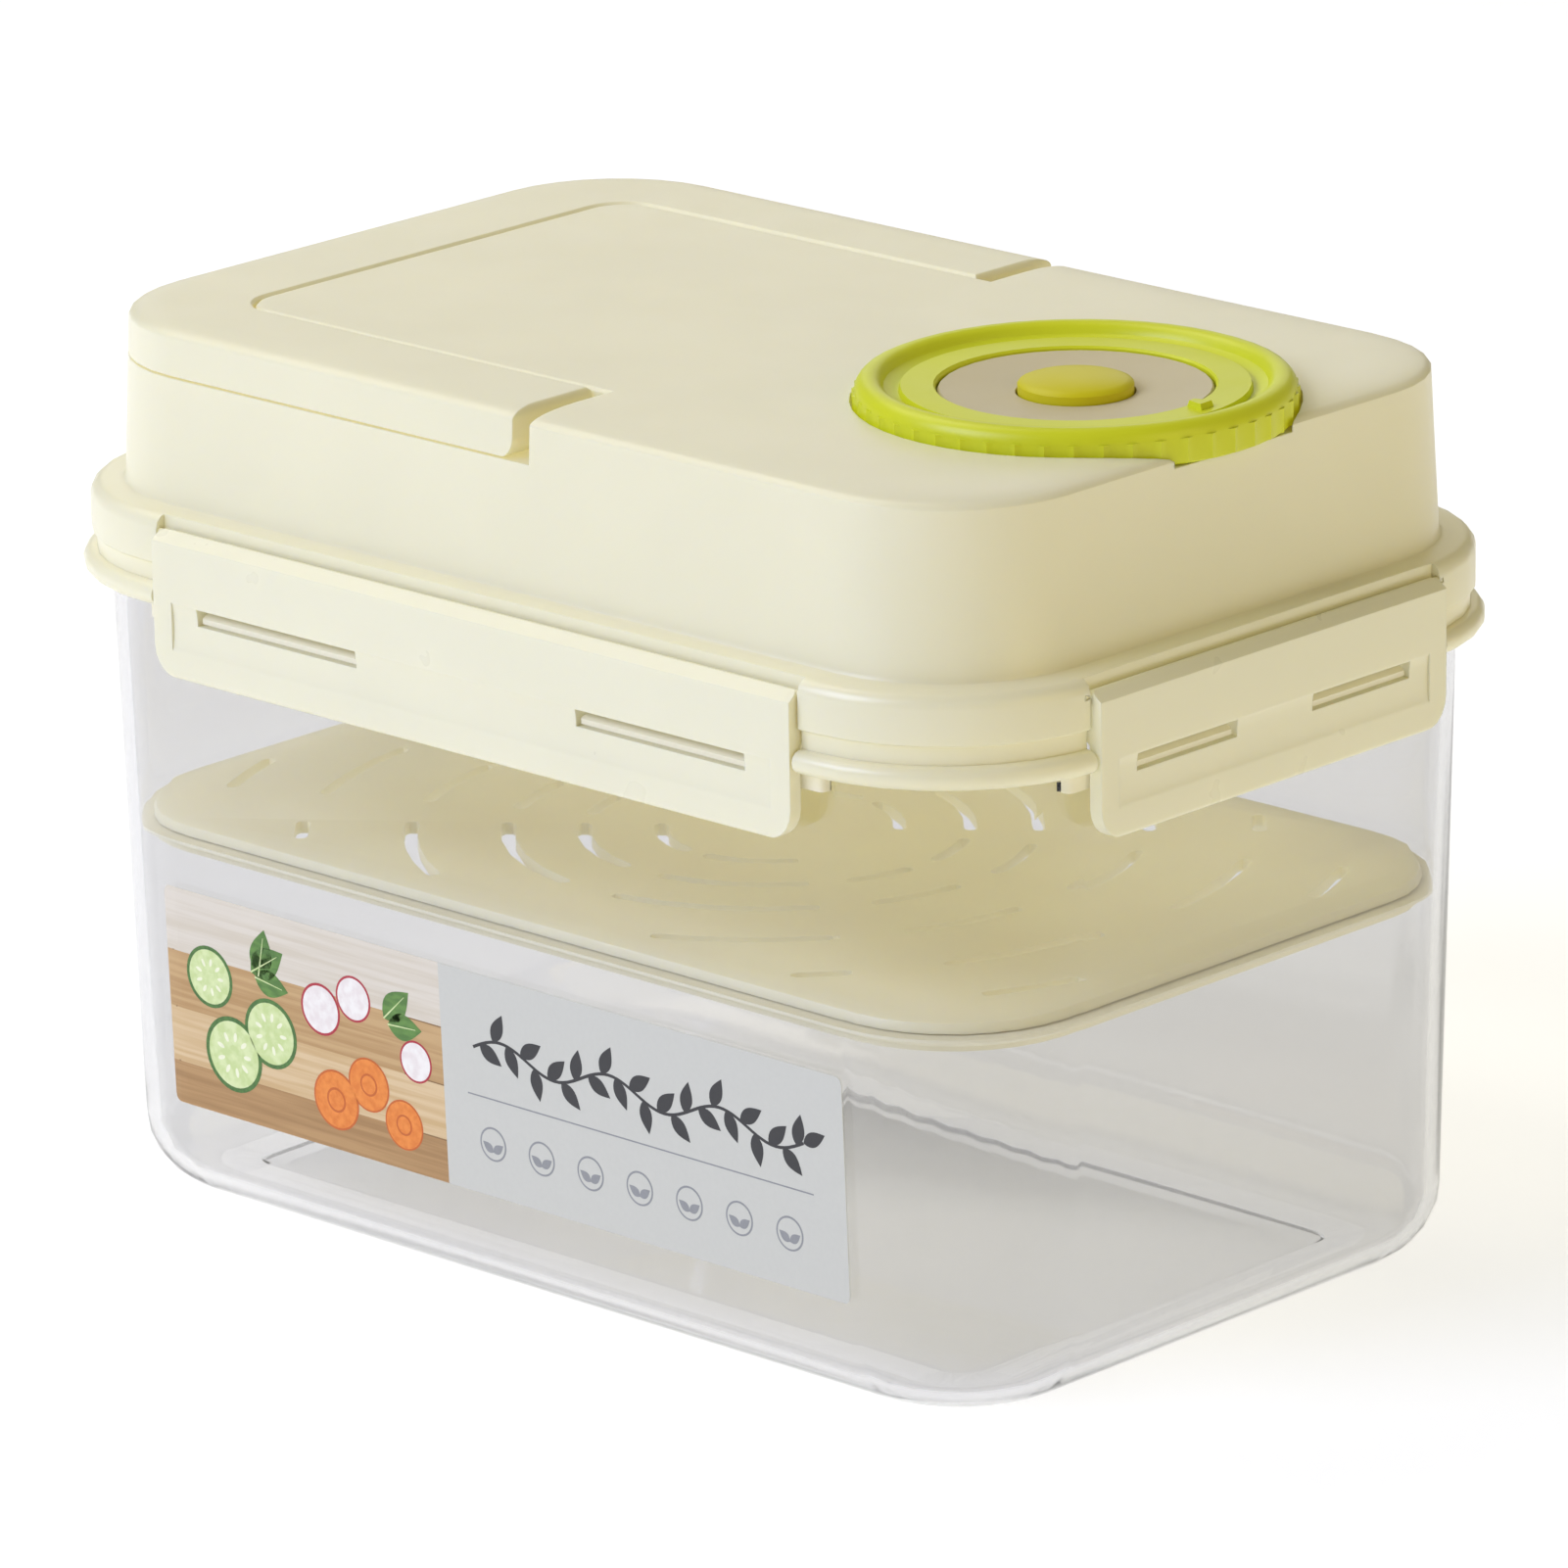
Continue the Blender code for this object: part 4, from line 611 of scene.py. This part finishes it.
for x, z, length, turn in ((23.0, 31.0, 10.5, 0.55), (25.0, 30.5, 10.0, 1.35),
                           (24.0, 30.2, 9.0, -0.15), (58.5, 29.5, 9.5, 0.75),
                           (59.5, 28.5, 9.0, 0.05)):
    leaf(x, z, length, turn, "leaf", 2)
    ribbon([(x, z), (x + length * 0.82 * math.cos(turn), z + length * 0.82 * math.sin(turn))],
           (0.35, 0.12), "cucumber_flesh", 3)
print("faces with the picture:", len(sticker_mesh.faces))

# %% The trail of leaves
TRAIL_FROM, TRAIL_TO, TRAIL_LEVEL = 82.0, 166.0, 29.0
TRAIL_SWING, TRAIL_WAVES = 2.2, 3.0
TRAIL_STEPS, STEM_WIDTH = 72, 0.62
LEAVES, LEAF_LENGTH, LEAF_SPREAD, LEAF_PLUMP = 24, 6.4, 0.95, 0.24
RULE_LEVEL, BADGE_LEVEL, BADGE_PITCH, BADGES = 19.5, 10.5, 12.6, 7


def trail(share):
    """The trail's point at a share of its length, and the way it runs there."""
    angle = math.tau * TRAIL_WAVES * share
    slope = TRAIL_SWING * math.tau * TRAIL_WAVES * math.cos(angle) / (TRAIL_TO - TRAIL_FROM)
    return (TRAIL_FROM + (TRAIL_TO - TRAIL_FROM) * share,
            TRAIL_LEVEL + TRAIL_SWING * math.sin(angle), math.atan(slope))


stem = [trail(i / TRAIL_STEPS)[:2] for i in range(TRAIL_STEPS + 1)]
ribbon(stem, [STEM_WIDTH] * len(stem), "black", 1)
for i in range(LEAVES):
    x, z, way = trail((i + 0.5) / LEAVES)
    side = 1 if i % 2 else -1
    leaf(x, z, LEAF_LENGTH, way + side * LEAF_SPREAD, "black", 2, plump=LEAF_PLUMP)
leaf(*trail(1.0)[:2], 6.0, trail(1.0)[2], "black", 2, plump=LEAF_PLUMP)
ribbon([(80.0, RULE_LEVEL), (168.0, RULE_LEVEL)], (0.30, 0.30), "shade", 1)
for i in range(BADGES):
    x = 86.0 + BADGE_PITCH * i
    disc(x, BADGE_LEVEL, 3.4, "shade", 1)
    disc(x, BADGE_LEVEL, 3.0, "grey_field", 2)
    for turn in (0.6, math.pi - 0.6):
        leaf(x, 8.9, 3.2, turn, "shade", 3, plump=0.28)
print("faces with the trail:", len(sticker_mesh.faces))

# %% Hand the sticker over
sticker_data = bpy.data.meshes.new("front_sticker")
sticker_mesh.to_mesh(sticker_data)
sticker_mesh.free()
for colour in INKS.values():
    sticker_data.materials.append(colour)
sticker = bpy.data.objects.new("front_sticker", sticker_data)
bpy.context.scene.collection.objects.link(sticker)
paper_thickness = sticker.modifiers.new("paper thickness", "SOLIDIFY")
paper_thickness.thickness = STICKER_THICKNESS
paper_thickness.offset = -1.0
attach(sticker, "container")
print("sticker rides on the container with", len(sticker_data.polygons), "faces")

# %% [markdown]
# ## The camera
#
# The picture was taken with a long lens from two metres away, which keeps the container's
# edges nearly parallel. The camera below has that place, aim and focal length. A constraint
# could aim it, but would leave the roll open, so its matrix is built from three turns: round
# the container, up above it, and a slight roll.

# %% Camera
CAMERA_PLACE = Vector((1.3717, -1.4453, 0.7038))
AZIMUTH, ELEVATION, ROLL = (math.radians(a) for a in (43.49, 17.25, 0.93))
FOCAL_LENGTH, SENSOR_WIDTH = 253.5, 36.0            # millimetres
FRAMING_SHIFT = 0.0014              # a share of the picture's width
NEAREST_SEEN, FURTHEST_SEEN = 0.05, 60.0

lens = bpy.data.cameras.new("camera")
lens.lens = FOCAL_LENGTH
lens.sensor_width = SENSOR_WIDTH
lens.shift_x = FRAMING_SHIFT
lens.clip_start, lens.clip_end = NEAREST_SEEN, FURTHEST_SEEN
camera = bpy.data.objects.new("camera", lens)
bpy.context.scene.collection.objects.link(camera)

behind = Vector((math.sin(AZIMUTH) * math.cos(ELEVATION),
                 -math.cos(AZIMUTH) * math.cos(ELEVATION), math.sin(ELEVATION)))
right = Vector((math.cos(AZIMUTH), math.sin(AZIMUTH), 0.0))
above = behind.cross(right)
level = Matrix((right, above, behind)).transposed()
roll = Matrix.Rotation(-ROLL, 3, "Z")
camera.matrix_world = Matrix.Translation(CAMERA_PLACE) @ (level @ roll).to_4x4()
bpy.context.scene.camera = camera
print("camera is", round(CAMERA_PLACE.length, 2), "m away")

# %% [markdown]
# ## Floor and light
#
# A product like this is photographed in a white sweep under large soft lamps. One big lamp
# stands at the left of the camera and lights the front, a smaller one overhead lights the top,
# a warm one stands out to the right, and a weak one behind draws a sheen across the top. A ring
# of lamps would be more even, but with four the work of each can be told apart. A pale floor
# runs past the edges of the picture, so there is no horizon.

# %% Floor
FLOOR_HALF = 7.0                    # metres, past the edge of any view of the container
PAPER_FIBRES = 900.0                # fibre specks to a metre


def studio_floor():
    """A pale floor of white paper."""
    mesh = bpy.data.meshes.new("studio_floor")
    corners = [(x * FLOOR_HALF, y * FLOOR_HALF, 0) for x, y in ((-1, -1), (1, -1), (1, 1), (-1, 1))]
    mesh.from_pydata(corners, [], [(0, 1, 2, 3)])
    floor = bpy.data.objects.new("studio_floor", mesh)
    bpy.context.scene.collection.objects.link(floor)
    material = bpy.data.materials.new("white_studio_paper")
    material.use_nodes = True
    tree = material.node_tree
    tree.nodes.clear()
    place = add(tree, "ShaderNodeTexCoord").outputs["Object"]
    fibre = add(tree, "ShaderNodeTexNoise",
                {"Vector": place, "Scale": PAPER_FIBRES, "Detail": 2.0})
    rough = add(tree, "ShaderNodeBump",
                {"Height": fibre.outputs["Fac"], "Distance": 0.02 * MM, "Strength": 0.5})
    paper = add(tree, "ShaderNodeBsdfPrincipled",
                {"Base Color": linear("cccccc"), "Roughness": 0.9,
                 "Normal": rough.outputs["Normal"], "Emission Color": linear("ffffff"),
                 "Emission Strength": 0.60})
    add(tree, "ShaderNodeOutputMaterial", {"Surface": paper.outputs["BSDF"]})
    mesh.materials.append(material)
    return floor


print("made", studio_floor().name, "with a half side of", FLOOR_HALF, "m")

# %% Lamps
TARGET = Vector((0.0, 0.0, 0.09))


def soft_lamp(name, place, size, watts, colour):
    """A square soft lamp that points at the container."""
    light = bpy.data.lights.new(name, "AREA")
    light.shape = "SQUARE"
    light.size = size
    light.energy = watts
    light.color = linear(colour)[:3]
    lamp = bpy.data.objects.new(name, light)
    lamp.location = place
    lamp.rotation_euler = (TARGET - Vector(place)).to_track_quat("-Z", "Y").to_euler()
    bpy.context.scene.collection.objects.link(lamp)
    return lamp


soft_lamp("front_lamp", (-0.9, -2.2, 1.75), 1.6, 64, "d6dfff")
soft_lamp("overhead_lamp", (-0.8, 0.0, 1.3), 0.9, 7.4, "fdf6e0")
soft_lamp("side_lamp", (2.6, 0.3, 1.2), 1.6, 18.0, "ffe898")
soft_lamp("rear_lamp", (-1.7, 1.9, 1.05), 1.6, 6, "fffdf4")

world = bpy.data.worlds.new("studio")
world.use_nodes = True
sky = world.node_tree
sky.nodes.clear()
pale = add(sky, "ShaderNodeBackground", {"Color": linear("f6f5f2"), "Strength": 0.22})
add(sky, "ShaderNodeOutputWorld", {"Surface": pale.outputs["Background"]})
bpy.context.scene.world = world
bpy.context.scene.view_settings.view_transform = "Standard"
print("lamps:", len(bpy.data.lights))
